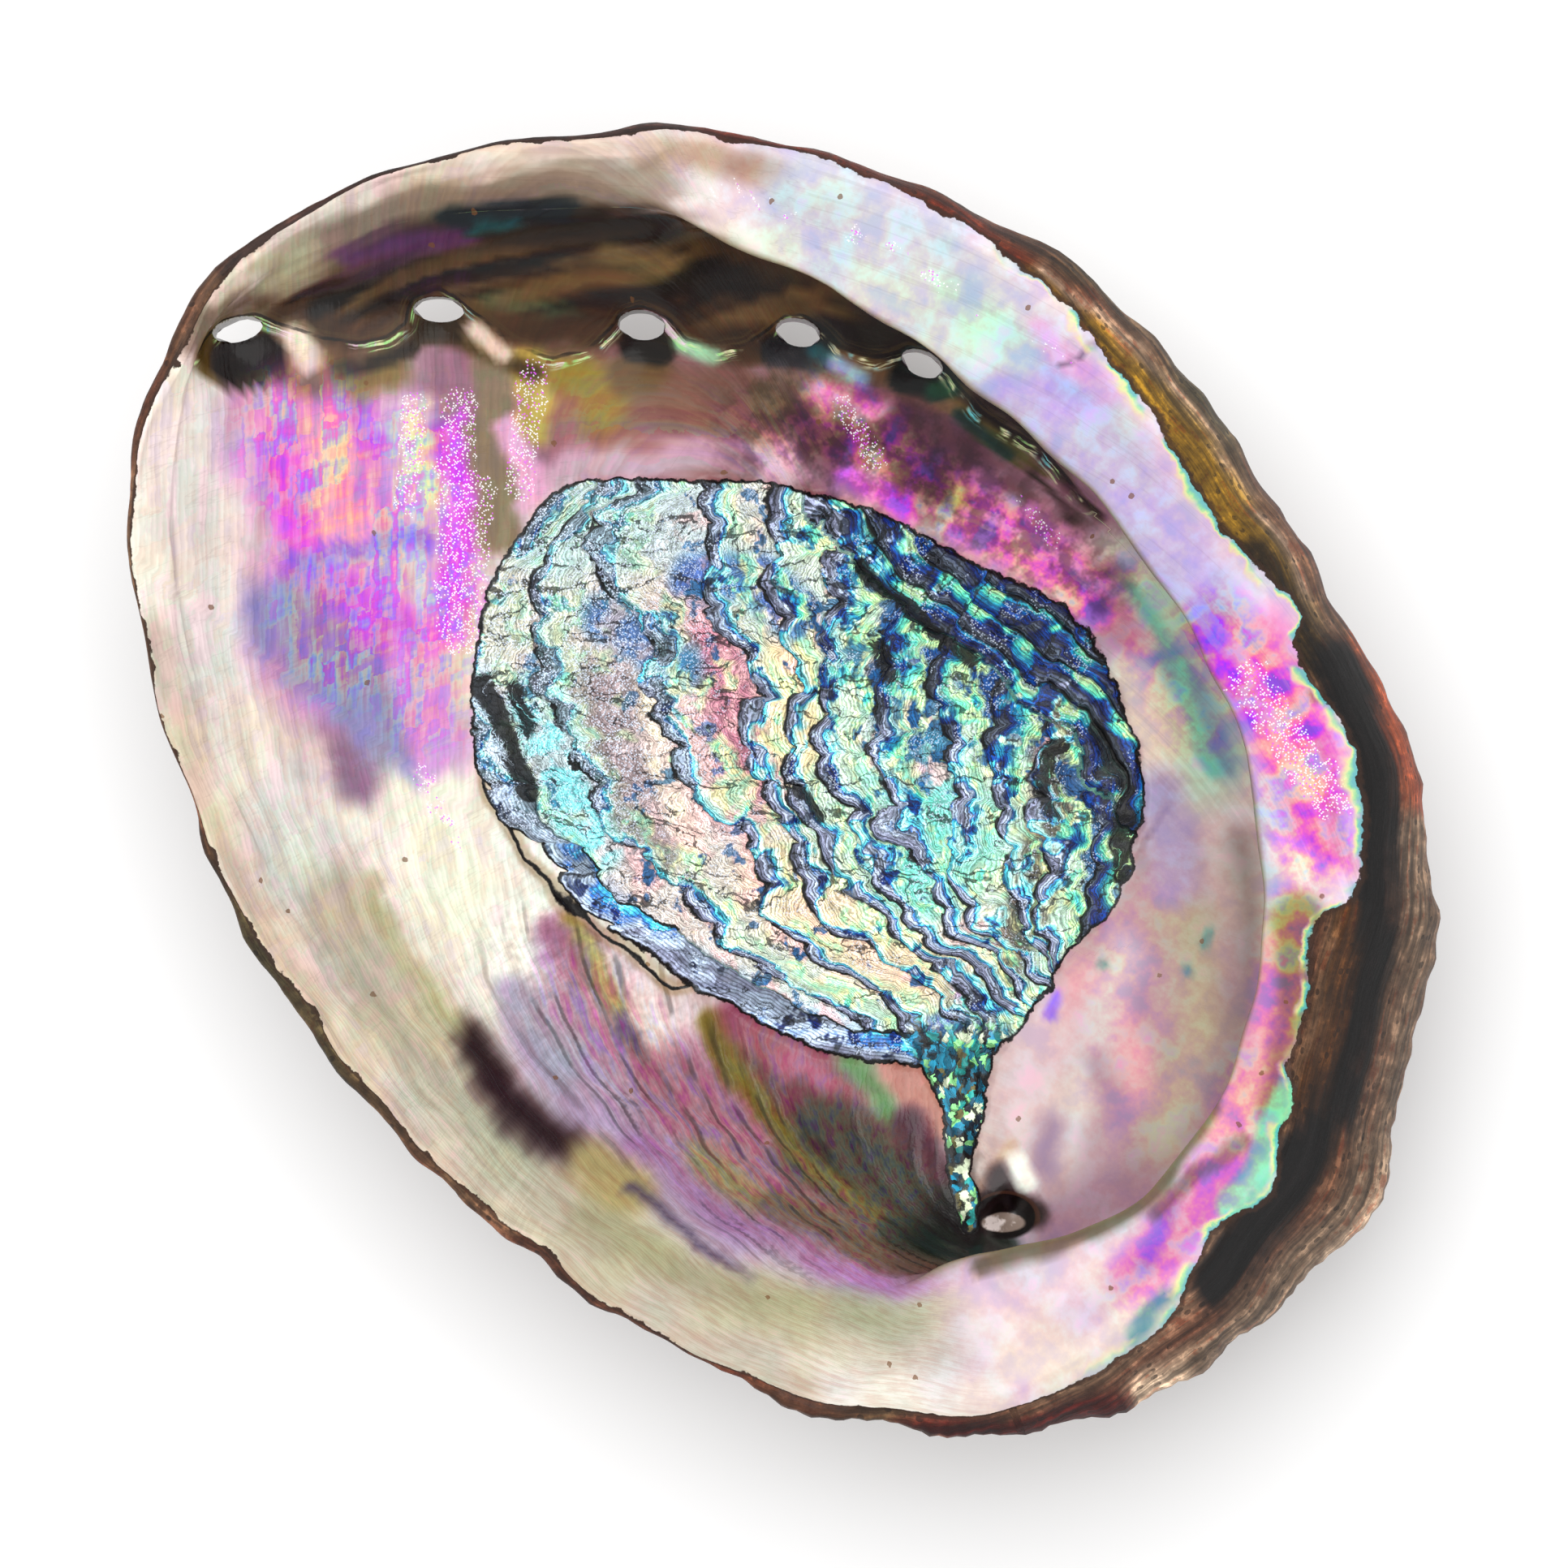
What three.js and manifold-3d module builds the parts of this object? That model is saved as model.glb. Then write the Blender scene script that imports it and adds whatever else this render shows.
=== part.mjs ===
// Abalone shell, open side up, lying on its rounded back. Units are mm and +Z is up.
// The shell is one closed skin. It runs from the flat spot that it rests on, up the outside, over the
// growing edge and the columellar shelf, and down the pearly inside to the middle of the bowl.
// Rings of the skin are given as [direction in degrees, distance from the middle, height].
// Directions turn anticlockwise seen from above. The spire is near 297 degrees, and the growing edge
// farthest from it is near 135 degrees.
import * as THREE from "three";
import { mergeVertices } from "three/addons/utils/BufferGeometryUtils.js";
import Module from "manifold-3d";

// Driving dimensions
const DIRECTIONS = 92; // skin points in each ring
const FLOOR_THICKNESS = 3.8;
const BOWL_CURVE = 0.0034; // height of the bowl's floor per squared distance from its deepest point
const BACK_BULGE = 1.4; // of the back's shoulder over a straight slope
const FLOOR_DIP = 1.7; // of the floor between the scar and the foot of the wall, below a straight slope
const BACK_START = 0.6; // share of the scar's radius where the back leaves the worn flat spot
const BACK_SPREAD = 0.8; // how much farther out the back runs there than the inside does
const SHOULDER_OUT = 0.62; // where the back's shoulder stands, as a share of the way from foot to outline
const SHOULDER_UP = 0.54; // and its height there, as a share of the same way
const SHOULDER_DROP = 0.04; // how much lower that is under the shelf
const RIM_SAG = 0.44; // height of the margin between crest and edge, as a share of the way down
const WALL_TOP = 0.4; // where the inner wall bends, as a share of the way from edge to wall middle
const WALL_OUT = 2.3; // the outside's step outward from the inside at the foot of the wall
const WALL_DOWN = 2.4; // and its step downward there
const SPIRE_THICKNESS = 1.3; // share by which the wall is thicker at the spire end
const LIP_THICKNESS = 1.7; // of the shelf at its inner edge
const LIP_UNDERCUT = 0.9; // how far the lip's underside stands back from that edge
const REST_RADIUS = 6.5; // of the worn flat spot on the back
const BETWEEN = [0.33, 0.66]; // shares of the way out where rings stand between that spot and the back
const REST_AT = [16.5, -2]; // middle of that spot, which is the deepest point of the bowl too
const LONG_AXIS_TURN = -135; // degrees, which lays the long axis along X

// Outermost line of the shell seen from above
const OUTLINE = [
  [0, 79.9, 31], [20, 73.7, 33], [40, 70.9, 35], [60, 73.2, 38], [80, 77.1, 40],
  [100, 82.3, 42], [120, 89.5, 42], [135, 93.9, 41], [150, 91.9, 39.5], [165, 83.5, 39.5],
  [180, 75, 40], [200, 67.5, 40], [220, 64.4, 39.5], [240, 65.9, 39], [260, 71.9, 38.5],
  [280, 80.8, 38], [300, 89.4, 31], [320, 92, 25], [340, 86.6, 26.5],
];
// Highest line, where the pearl layer meets the outer crust: its inset from the outline, and height
const CREST = [
  [0, 9, 42], [20, 8.4, 42.6], [40, 7, 43.4], [60, 4.8, 44], [75, 3, 44], [90, 1.6, 44], [110, 1.3, 43.4],
  [135, 1.2, 41.4], [160, 1.1, 40.4], [190, 1.1, 41], [230, 1.1, 40.4], [262, 1.3, 39.5], [280, 2, 39],
  [292, 5.5, 38.5], [303, 10, 38], [318, 13.5, 38.4], [332, 15.5, 39.6], [346, 13, 41],
];
// Inner edge of the shelf, and on the other sides a line on the flared margin
const EDGE = [
  [5, 57.2, 36.2], [25, 53.6, 36.8], [45, 52.9, 37.4], [64, 54.5, 38], [79, 59.1, 38.6],
  [92, 65.3, 39.4], [98, 69.2, 40], [105, 76, 41], [113, 80.6, 41.5], [126, 88.2, 41.3],
  [140, 91.6, 39.8], [152, 87, 38.8], [165, 78.4, 38.5], [180, 70, 38.6], [200, 62.4, 37.8],
  [220, 59.4, 37.2], [240, 60.5, 36.4], [256, 63, 35], [270, 66, 33.5], [280, 65.5, 31.5],
  [288, 63.9, 29.5], [296, 65, 28.6], [303, 67.3, 30], [313, 68.2, 32], [330, 65.9, 34.2], [347, 61.3, 35.4],
];
// Farthest reach of the hollow under the shelf, and elsewhere the middle of the wall
const RECESS = [
  [0, 70, 30], [20, 66, 31], [40, 64, 32], [60, 63.5, 32.6], [73, 65, 33], [88, 68.5, 33.6],
  [98, 70, 34], [108, 71, 33.5], [126, 81.5, 35.4], [140, 90.4, 38], [152, 84.5, 37],
  [165, 76.2, 36], [180, 67.2, 34.6], [200, 60, 33.5], [220, 56.5, 32.4], [240, 55.5, 30.4],
  [260, 56.5, 28.4], [275, 59, 26.5], [288, 64, 24], [296, 70, 23], [306, 76, 25],
  [320, 79.5, 27], [340, 75.5, 29],
];
// Foot of the wall, along which the breathing holes stand in a row
const FOOT = [
  [10, 60.5, 18.5], [30, 57.6, 19.5], [50, 55.6, 20.5], [72, 56, 21], [88, 57.5, 21], [107, 61.1, 22.5],
  [118, 68, 25], [126, 74.2, 27], [140, 88.8, 35.5], [152, 80.8, 34], [165, 71, 31.6], [180, 62, 29.6],
  [200, 55, 27.2], [225, 50.2, 25], [245, 49.2, 23], [260, 51, 21.4], [275, 54.8, 19.4], [288, 60, 17.4],
  [296, 63.6, 16.4], [305, 67, 16.4], [320, 70, 16.6], [345, 66, 17],
];
// Edge of the muscle scar
const SCAR_EDGE = [
  [0, 46.1], [13, 45.1], [34, 42.3], [50, 38], [68, 37], [85, 38.1], [100, 39.9], [115, 43.6], [126, 47.3],
  [141, 46.4], [155, 43.6], [176, 39.7], [197, 34.8], [208, 31.8], [227, 28.6], [245, 28.8], [265, 31.5],
  [285, 37.5], [309, 43.9], [327, 43], [340, 45],
];
// Ledges of the muscle scar from the growing edge's side to the shelf's side, as [down, right] from the
// top left corner of a square of SEEN_WIDTH around the shell, as it looks from straight above
const SEEN_WIDTH = 193.2;
const SCAR_SPREAD = 1.055; // the scar lies deeper than the rim, so it looks this much smaller from above
const LEDGES = [
  [[60, 72], [70, 61], [85, 56.5], [95, 60], [104, 67], [115, 77.5], [125, 88], [131, 104]],
  [[60, 79], [66, 73], [79, 81.6], [87, 80.4], [98, 86], [105, 93.4], [113, 92.5], [121, 102], [128, 116]],
  [[60, 86], [70, 87.6], [80, 91.2], [90, 92.8], [98, 92.4], [105, 97.5], [115, 103], [126, 119]],
  [[60, 100], [68, 102.3], [78, 101.6], [90, 100.4], [100, 103], [110, 108], [120, 118], [126, 127]],
  [[60, 112], [70, 118], [80, 112], [90, 111], [100, 112.5], [110, 116], [120, 125], [126, 132]],
  [[60, 126], [70, 132], [80, 127], [90, 124.5], [100, 124], [110, 125.5], [118, 128], [126, 137]],
  [[60, 138], [70, 143], [80, 141], [100, 138], [110, 137], [126, 143]],
];
// How far the shelf overhangs: 1 a full shelf, 0 none
const SHELF = [[0, 1], [60, 1], [92, 1], [103, 0.3], [115, 0], [200, 0], [270, 0], [284, 0.2], [292, 1]];

// Breathing holes from the newest to the oldest open one: x, y, length along the row, width, turn
const HOLES = [
  [-68.2, 56.8, 6.2, 2.9, 17], [-43.6, 60, 6.4, 3, 0], [-18.1, 58.4, 6, 3.5, -4],
  [1.8, 57.6, 5.8, 3.3, -12], [17.6, 53.6, 5.6, 3, -22],
];
const FUNNEL_AT = [0.6, -3]; // middle of the hollow that leads to each hole, from the hole's middle
const FUNNEL_RADIUS = 4.2;
const FUNNEL_DEPTH = 1.6;
const HOLE_RIM = 1.5; // rise of the outside around each hole
const HOLE_RIM_RADIUS = 5.2;
const HOLE_SIDES = 16;
const PLUG_ABOVE = 8; // reach of the cut for a hole above and below the foot of the wall
const PLUG_BELOW = 14;

// Spire: the pit inside, and the low coil behind it outside
const PIT_AT = [29.4, -56.6];
const PIT_RADIUS = 3.6;
const PIT_DEPTH = 7.5;
const SPIRE_AT = [34, -56];
const SPIRE_RADIUS = 13;
const SPIRE_RISE = 4.5;
const COIL_GROWTH = 0.48; // growth of the coil per radian
const COIL_GROOVE = 1;
const COIL_FROM = 2; // distance from the spire's tip where the groove begins
const COIL_FULL = 6; // and where it is full

// Surface relief
const LEDGE_RISE = 0.9; // of each ledge of the muscle scar
const LEDGE_STEEP = 0.28; // share of the way to the next ledge that the steep side takes
const SCAR_FADE = [0.9, 1.02]; // shares of the scar's radius between which the ledges fade out
const EDGE_RIPPLE = 0.45; // of the broken growing edge
const GROWTH_WAVE = 0.7; // of the growth ridges on the back
const GROWTH_WAVES = 9;
const GROWTH_SLANT = 2; // how far the ridges wind round the spire
const RIB_RISE = 0.5;
const RIBS = 14;
const SHELF_LUMP = 0.5;
const LUMP_LENGTH = 20; // of the shelf's soft waves along X
const LUMP_WIDTH = 23; // and along Y
const LUMP_BEND = 0.5;
const LUMP_BEND_LENGTH = 31;

const TAU = 2 * Math.PI;
const radians = THREE.MathUtils.degToRad;

// A smooth closed line through [direction, value, ...] rows: returns the given column at any direction.
function around(rows, column) {
  const sorted = [...rows].sort((a, b) => a[0] - b[0]);
  const count = sorted.length;
  const angleOf = (i) => sorted[((i % count) + count) % count][0] + 360 * Math.floor(i / count);
  const valueOf = (i) => sorted[((i % count) + count) % count][column];
  const slopeOf = (i) => (valueOf(i + 1) - valueOf(i - 1)) / (angleOf(i + 1) - angleOf(i - 1));
  return (direction) => {
    const angle = ((direction % 360) + 360) % 360;
    let i = count - 1;
    while (i >= 0 && angleOf(i) > angle) i -= 1;
    const span = angleOf(i + 1) - angleOf(i);
    const t = (angle - angleOf(i)) / span;
    const rise = valueOf(i + 1) - valueOf(i);
    const startSlope = slopeOf(i) * span;
    const endSlope = slopeOf(i + 1) * span;
    return valueOf(i) + t * startSlope + t * t * (3 * rise - 2 * startSlope - endSlope)
      + t * t * t * (startSlope + endSlope - 2 * rise);
  };
}

const outlineRadius = around(OUTLINE, 1);
const outlineHeight = around(OUTLINE, 2);
const crestInset = around(CREST, 1);
const crestHeight = around(CREST, 2);
const edgeRadius = around(EDGE, 1);
const edgeHeight = around(EDGE, 2);
const recessRadius = around(RECESS, 1);
const recessHeight = around(RECESS, 2);
const footRadius = around(FOOT, 1);
const footHeight = around(FOOT, 2);
const scarRadius = around(SCAR_EDGE, 1);
const shelfShare = around(SHELF, 1);

const mix = (a, b, t) => a + (b - a) * t;
const clamp01 = (t) => Math.min(1, Math.max(0, t));
const smooth = (from, to, t) => {
  const s = clamp01((t - from) / (to - from));
  return s * s * (3 - 2 * s);
};
const around180 = (direction) => (direction > 180 ? direction - 360 : direction);
// Height of the bowl's floor at a distance from the middle in one direction
function floorHeight(direction, radius) {
  const a = radians(direction);
  const away = Math.hypot(radius * Math.cos(a) - REST_AT[0], radius * Math.sin(a) - REST_AT[1]);
  return FLOOR_THICKNESS + BOWL_CURVE * away * away;
}

// Small waves of the broken growing edge
function edgeRipple(direction) {
  const a = radians(direction);
  return EDGE_RIPPLE * (0.5 * Math.sin(19 * a) + 0.6 * Math.sin(29 * a + 1.3) + 0.5 * Math.sin(11 * a + 2.1));
}

// The skin's profile in one direction: [radius, height] from the back's flat spot to the bowl's middle.
// STEPS holds the number of skin rows from each of these to the next.
const STEPS = [3, 2, 2, 3, 3, 3, 2, 2, 1, 3, 3, 3, 3, 8, 6];
function profile(direction) {
  const outline = outlineRadius(direction) + edgeRipple(direction);
  const crest = outline - crestInset(direction);
  const edge = [edgeRadius(direction), edgeHeight(direction)];
  const recess = [recessRadius(direction), recessHeight(direction)];
  const foot = [footRadius(direction), footHeight(direction)];
  const scar = scarRadius(direction);
  const shelf = clamp01(shelfShare(direction));
  const crestTop = crestHeight(direction);
  const outlineTop = outlineHeight(direction);
  const scarHeight = floorHeight(direction, scar);
  const thick = mix(1, SPIRE_THICKNESS, shelf * smooth(30, -30, around180(direction)));
  const backFoot = [foot[0] + thick * WALL_OUT, foot[1] - thick * WALL_DOWN];
  const underScar = scarHeight - FLOOR_THICKNESS;
  return [
    [scar * BACK_START, floorHeight(direction, scar * BACK_START) - FLOOR_THICKNESS],
    [scar, underScar],
    [mix(backFoot[0], scar, 0.5) + BACK_SPREAD, mix(backFoot[1], underScar, 0.5) - FLOOR_DIP],
    backFoot,
    [
      mix(backFoot[0], outline, SHOULDER_OUT) + BACK_BULGE * shelf,
      mix(backFoot[1], outlineTop, SHOULDER_UP - SHOULDER_DROP * shelf),
    ],
    [outline, outlineTop],
    [crest, crestTop],
    [mix(crest, edge[0], 0.5), mix(crestTop, edge[1], RIM_SAG)],
    edge,
    [
      mix(mix(edge[0], recess[0], WALL_TOP), edge[0] + LIP_UNDERCUT, shelf),
      mix(mix(edge[1], recess[1], WALL_TOP), edge[1] - LIP_THICKNESS, shelf),
    ],
    recess,
    foot,
    [mix(foot[0], scar, 0.5), mix(foot[1], scarHeight, 0.5) - FLOOR_DIP],
    [scar, scarHeight],
    [scar * 0.5, floorHeight(direction, scar * 0.5)],
    [0, floorHeight(direction, 0)],
  ];
}
const CREST_ROW = STEPS.slice(0, 6).reduce((sum, n) => sum + n, 0);
const LIP_ROW = STEPS.slice(0, 9).reduce((sum, n) => sum + n, 0);
// Numbers of rows over which the relief fades in and out at the flat spot, the crest and the lip
const BACK_FADE = 4;
const CREST_FADE = 3;
const INNER_FADE = 2;

const distanceTo = (x, y, at) => Math.hypot(x - at[0], y - at[1]);
const bell = (distance, radius) => Math.exp(-((distance / radius) ** 2));

// Where a ledge's line stands to the right, at a place so far down
function lineAt(line, down) {
  let i = 1;
  while (i < line.length - 1 && line[i][0] < down) i += 1;
  const share = clamp01((down - line[i - 1][0]) / (line[i][0] - line[i - 1][0]));
  return mix(line[i - 1][1], line[i][1], share);
}

// Height of the scar's ledges at a point: a steep rise at each line, then a long slope to the next
function ledgeRise(x, y) {
  const right = SEEN_WIDTH / 2 + x / SCAR_SPREAD;
  const down = SEEN_WIDTH / 2 - y / SCAR_SPREAD;
  const starts = LEDGES.map((line) => lineAt(line, down));
  const i = starts.findLastIndex((start) => start <= right);
  if (i < 0 || i === starts.length - 1) return 0;
  const past = (right - starts[i]) / (starts[i + 1] - starts[i]);
  return LEDGE_RISE * (past < LEDGE_STEEP ? past / LEDGE_STEEP : (1 - past) / (1 - LEDGE_STEEP));
}

// Relief of the pearly inside at a point, in mm into the bowl
function insideRelief(x, y, direction, radius) {
  let rise = 0;
  for (const [hx, hy] of HOLES) {
    rise -= FUNNEL_DEPTH * bell(distanceTo(x, y, [hx + FUNNEL_AT[0], hy + FUNNEL_AT[1]]), FUNNEL_RADIUS);
  }
  rise -= PIT_DEPTH * bell(distanceTo(x, y, PIT_AT), PIT_RADIUS);
  const inScar = 1 - smooth(SCAR_FADE[0], SCAR_FADE[1], radius / scarRadius(direction));
  return rise + inScar * ledgeRise(x, y);
}

// Relief of the crusty outside at a point, in mm out of the shell
function outsideRelief(x, y) {
  const fromSpire = distanceTo(x, y, SPIRE_AT);
  const turn = Math.atan2(y - SPIRE_AT[1], x - SPIRE_AT[0]);
  const grown = Math.log(Math.max(fromSpire, 1));
  const coil = grown / COIL_GROWTH - turn;
  const reach = smooth(SPIRE_RADIUS, 2 * SPIRE_RADIUS, fromSpire);
  let rise = SPIRE_RISE * bell(fromSpire, SPIRE_RADIUS);
  rise -= COIL_GROOVE * (1 - reach) * (0.5 + 0.5 * Math.cos(coil)) * smooth(COIL_FROM, COIL_FULL, fromSpire);
  rise += reach * GROWTH_WAVE * Math.sin(GROWTH_WAVES * grown + GROWTH_SLANT * turn);
  rise += reach * RIB_RISE * Math.sin(RIBS * turn);
  for (const [hx, hy] of HOLES) {
    rise += HOLE_RIM * bell(distanceTo(x, y, [hx, hy]), HOLE_RIM_RADIUS);
  }
  return rise;
}

// Undisplaced skin: rows of DIRECTIONS points
function plainSkin() {
  const rows = [];
  for (let d = 0; d < DIRECTIONS; d += 1) {
    const direction = (360 * d) / DIRECTIONS;
    const points = profile(direction).map(([r, z]) => new THREE.Vector3(r, 0, z));
    const curve = new THREE.CatmullRomCurve3(points, false, "centripetal");
    const column = [];
    STEPS.forEach((steps, span) => {
      for (let s = 0; s < steps; s += 1) column.push(curve.getPoint((span + s / steps) / STEPS.length));
    });
    column.forEach((p, row) => {
      rows[row] ??= [];
      const a = radians(direction);
      rows[row][d] = new THREE.Vector3(p.x * Math.cos(a), p.x * Math.sin(a), p.z);
    });
  }
  return rows;
}

// Soft waves of the shelf's pearl at a point
function shelfRelief(x, y) {
  const bend = LUMP_BEND * Math.sin((TAU * y) / LUMP_BEND_LENGTH);
  return SHELF_LUMP * Math.sin((TAU * x) / LUMP_LENGTH + bend) * Math.sin((TAU * y) / LUMP_WIDTH);
}

// Skin with its relief, each point moved along the skin's own normal
function reliefSkin(rows) {
  return rows.map((ring, row) => ring.map((point, d) => {
    const before = rows[Math.max(row - 1, 0)][d];
    const after = rows[Math.min(row + 1, rows.length - 1)][d];
    const left = ring[(d + DIRECTIONS - 1) % DIRECTIONS];
    const right = ring[(d + 1) % DIRECTIONS];
    const normal = right.clone().sub(left).cross(after.clone().sub(before)).normalize();
    const direction = THREE.MathUtils.radToDeg(Math.atan2(point.y, point.x));
    const radius = Math.hypot(point.x, point.y);
    let rise;
    if (row <= CREST_ROW) {
      const fade = smooth(0, BACK_FADE, row) * smooth(0, CREST_FADE, CREST_ROW - row);
      rise = fade * outsideRelief(point.x, point.y);
    } else if (row < LIP_ROW) {
      rise = smooth(0, INNER_FADE, row - CREST_ROW) * shelfRelief(point.x, point.y);
    } else {
      rise = smooth(0, INNER_FADE, row - LIP_ROW) * insideRelief(point.x, point.y, direction, radius);
    }
    return point.clone().addScaledVector(normal, rise);
  }));
}

// Closed surface through the rows, with the flat spot below and a middle point in the bowl
function skinGeometry(rows) {
  const [restX, restY] = REST_AT;
  const flatRing = rows[0].map((_, d) => {
    const a = (TAU * d) / DIRECTIONS;
    return new THREE.Vector3(restX + REST_RADIUS * Math.cos(a), restY + REST_RADIUS * Math.sin(a), 0);
  });
  const firstRing = rows[0];
  const between = BETWEEN.map((t) => flatRing.map((p, d) => {
    const q = p.clone().lerp(firstRing[d], t);
    q.z = firstRing[d].z * t * t;
    return q;
  }));
  const rings = [flatRing, ...between, ...rows];
  const positions = [];
  const faces = [];
  for (const ring of rings) for (const p of ring) positions.push(p.x, p.y, p.z);
  const bottom = positions.length / 3;
  positions.push(REST_AT[0], REST_AT[1], 0);
  const middle = bottom + 1;
  positions.push(0, 0, floorHeight(0, 0));
  for (let row = 0; row + 1 < rings.length; row += 1) {
    for (let d = 0; d < DIRECTIONS; d += 1) {
      const next = (d + 1) % DIRECTIONS;
      const a = row * DIRECTIONS + d;
      const b = row * DIRECTIONS + next;
      const c = a + DIRECTIONS;
      const e = b + DIRECTIONS;
      if ((row + d) % 2) faces.push(a, b, e, a, e, c);
      else faces.push(a, b, c, b, e, c);
    }
  }
  const last = (rings.length - 1) * DIRECTIONS;
  for (let d = 0; d < DIRECTIONS; d += 1) {
    const next = (d + 1) % DIRECTIONS;
    faces.push(bottom, next, d);
    faces.push(middle, last + d, last + next);
  }
  const geometry = new THREE.BufferGeometry();
  geometry.setAttribute("position", new THREE.Float32BufferAttribute(positions, 3));
  geometry.setIndex(faces);
  return geometry;
}

const wasm = await Module();
wasm.setup();

function solidOf(geometry) {
  const bare = geometry.clone();
  bare.deleteAttribute("normal");
  bare.deleteAttribute("uv");
  const merged = mergeVertices(bare, 1e-4);
  return new wasm.Manifold(new wasm.Mesh({
    numProp: 3,
    vertProperties: new Float32Array(merged.attributes.position.array),
    triVerts: new Uint32Array(merged.index.array),
  }));
}

function geometryOf(solid) {
  const mesh = solid.getMesh();
  const geometry = new THREE.BufferGeometry();
  geometry.setAttribute("position", new THREE.Float32BufferAttribute(mesh.vertProperties, 3));
  geometry.setIndex(Array.from(mesh.triVerts));
  return geometry;
}

// Upright oval plug that opens one breathing hole
function holePlug([x, y, length, width, turn]) {
  const foot = footHeight(THREE.MathUtils.radToDeg(Math.atan2(y, x)));
  const plug = new THREE.CylinderGeometry(0.5, 0.5, PLUG_ABOVE + PLUG_BELOW, HOLE_SIDES);
  plug.rotateX(Math.PI / 2);
  plug.scale(length, width, 1);
  plug.rotateZ(radians(turn));
  plug.translate(x, y, foot + (PLUG_ABOVE - PLUG_BELOW) / 2);
  return plug;
}

let solid = solidOf(skinGeometry(reliefSkin(plainSkin())));
for (const hole of HOLES) solid = solid.subtract(solidOf(holePlug(hole)));

// The long axis along X, the middle of the box over the origin, and the flat spot at height 0
const geometry = geometryOf(solid);
geometry.rotateZ(radians(LONG_AXIS_TURN));
geometry.computeBoundingBox();
const box = geometry.boundingBox;
geometry.translate(-(box.min.x + box.max.x) / 2, -(box.min.y + box.max.y) / 2, 0);
geometry.computeVertexNormals();

const pearl = new THREE.MeshStandardMaterial({ color: 0xb9a9b4, roughness: 0.28, metalness: 0.1 });
const shell = new THREE.Mesh(geometry, pearl);
shell.name = "shell";
const abalone = new THREE.Group();
abalone.add(shell);
export default abalone;
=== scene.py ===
# Abalone shell seen from straight above, open side up, on a pale floor.
# Shape tables are in mm, in a drawing frame with X to the right of the view and Y up it. The finished
# mesh is turned into the row frame, where the long axis lies along X.
# Colour strokes are in mm too, counted right and down from the top left corner of the seen square.
import math

import bmesh
import bpy
import numpy as np
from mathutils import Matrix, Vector


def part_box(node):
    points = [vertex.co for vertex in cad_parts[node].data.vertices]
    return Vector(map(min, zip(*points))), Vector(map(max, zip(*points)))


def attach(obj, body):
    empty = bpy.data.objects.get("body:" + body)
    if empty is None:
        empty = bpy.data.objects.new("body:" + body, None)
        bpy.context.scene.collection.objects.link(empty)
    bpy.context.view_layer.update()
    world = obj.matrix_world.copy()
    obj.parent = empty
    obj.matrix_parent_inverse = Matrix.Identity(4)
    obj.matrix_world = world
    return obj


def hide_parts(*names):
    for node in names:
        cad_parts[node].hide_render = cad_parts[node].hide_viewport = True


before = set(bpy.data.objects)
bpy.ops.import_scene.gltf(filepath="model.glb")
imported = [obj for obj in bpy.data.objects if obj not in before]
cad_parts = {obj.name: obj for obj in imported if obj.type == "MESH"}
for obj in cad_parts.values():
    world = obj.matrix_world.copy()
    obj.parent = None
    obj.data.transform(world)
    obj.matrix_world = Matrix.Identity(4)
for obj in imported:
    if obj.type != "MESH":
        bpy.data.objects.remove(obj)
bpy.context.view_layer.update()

# Camera
CAMERA_ABOVE_RIM = 700
RIM_LEVEL = 44
SEEN_WIDTH = 193.2
HALF_SEEN = SEEN_WIDTH / 2
SEEN_MIDDLE = (HALF_SEEN, HALF_SEEN)
SENSOR_WIDTH = 36
MM_PER_METRE = 1000

# Mesh fineness
DIRECTIONS = 528
STEPS = [7, 4, 4, 7, 7, 7, 9, 10, 4, 9, 12, 18, 18, 44, 26]

# Driving dimensions, as in the CAD
FLOOR_THICKNESS = 3.8
BOWL_CURVE = 0.0034
BACK_BULGE = 1.4
FLOOR_DIP = 1.7
WALL_OUT = 2.3
WALL_DOWN = 2.4
SPIRE_THICKNESS = 1.3
LIP_THICKNESS = 1.7
REST_RADIUS = 6.5
REST_AT = (16.5, -2)
LONG_AXIS_TURN = math.radians(-135)

OUTLINE = [
    (0, 79.9, 31), (20, 73.7, 33), (40, 70.9, 35), (60, 73.2, 38), (80, 77.1, 40),
    (100, 82.3, 42), (120, 89.5, 42), (135, 93.9, 41), (150, 91.9, 39.5), (165, 83.5, 39.5),
    (180, 75, 40), (200, 67.5, 40), (220, 64.4, 39.5), (240, 65.9, 39), (260, 71.9, 38.5),
    (280, 80.8, 38), (300, 89.4, 31), (320, 92, 25), (340, 86.6, 26.5),
]
CREST = [
    (0, 9, 42), (20, 8.4, 42.6), (40, 7, 43.4), (60, 4.8, 44), (75, 3, 44), (90, 1.6, 44),
    (110, 1.3, 43.4), (135, 1.2, 41.4), (160, 1.1, 40.4), (190, 1.1, 41), (230, 1.1, 40.4),
    (262, 1.3, 39.5), (280, 2, 39), (292, 5.5, 38.5), (303, 10, 38), (318, 13.5, 38.4),
    (332, 15.5, 39.6), (346, 13, 41),
]
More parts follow.
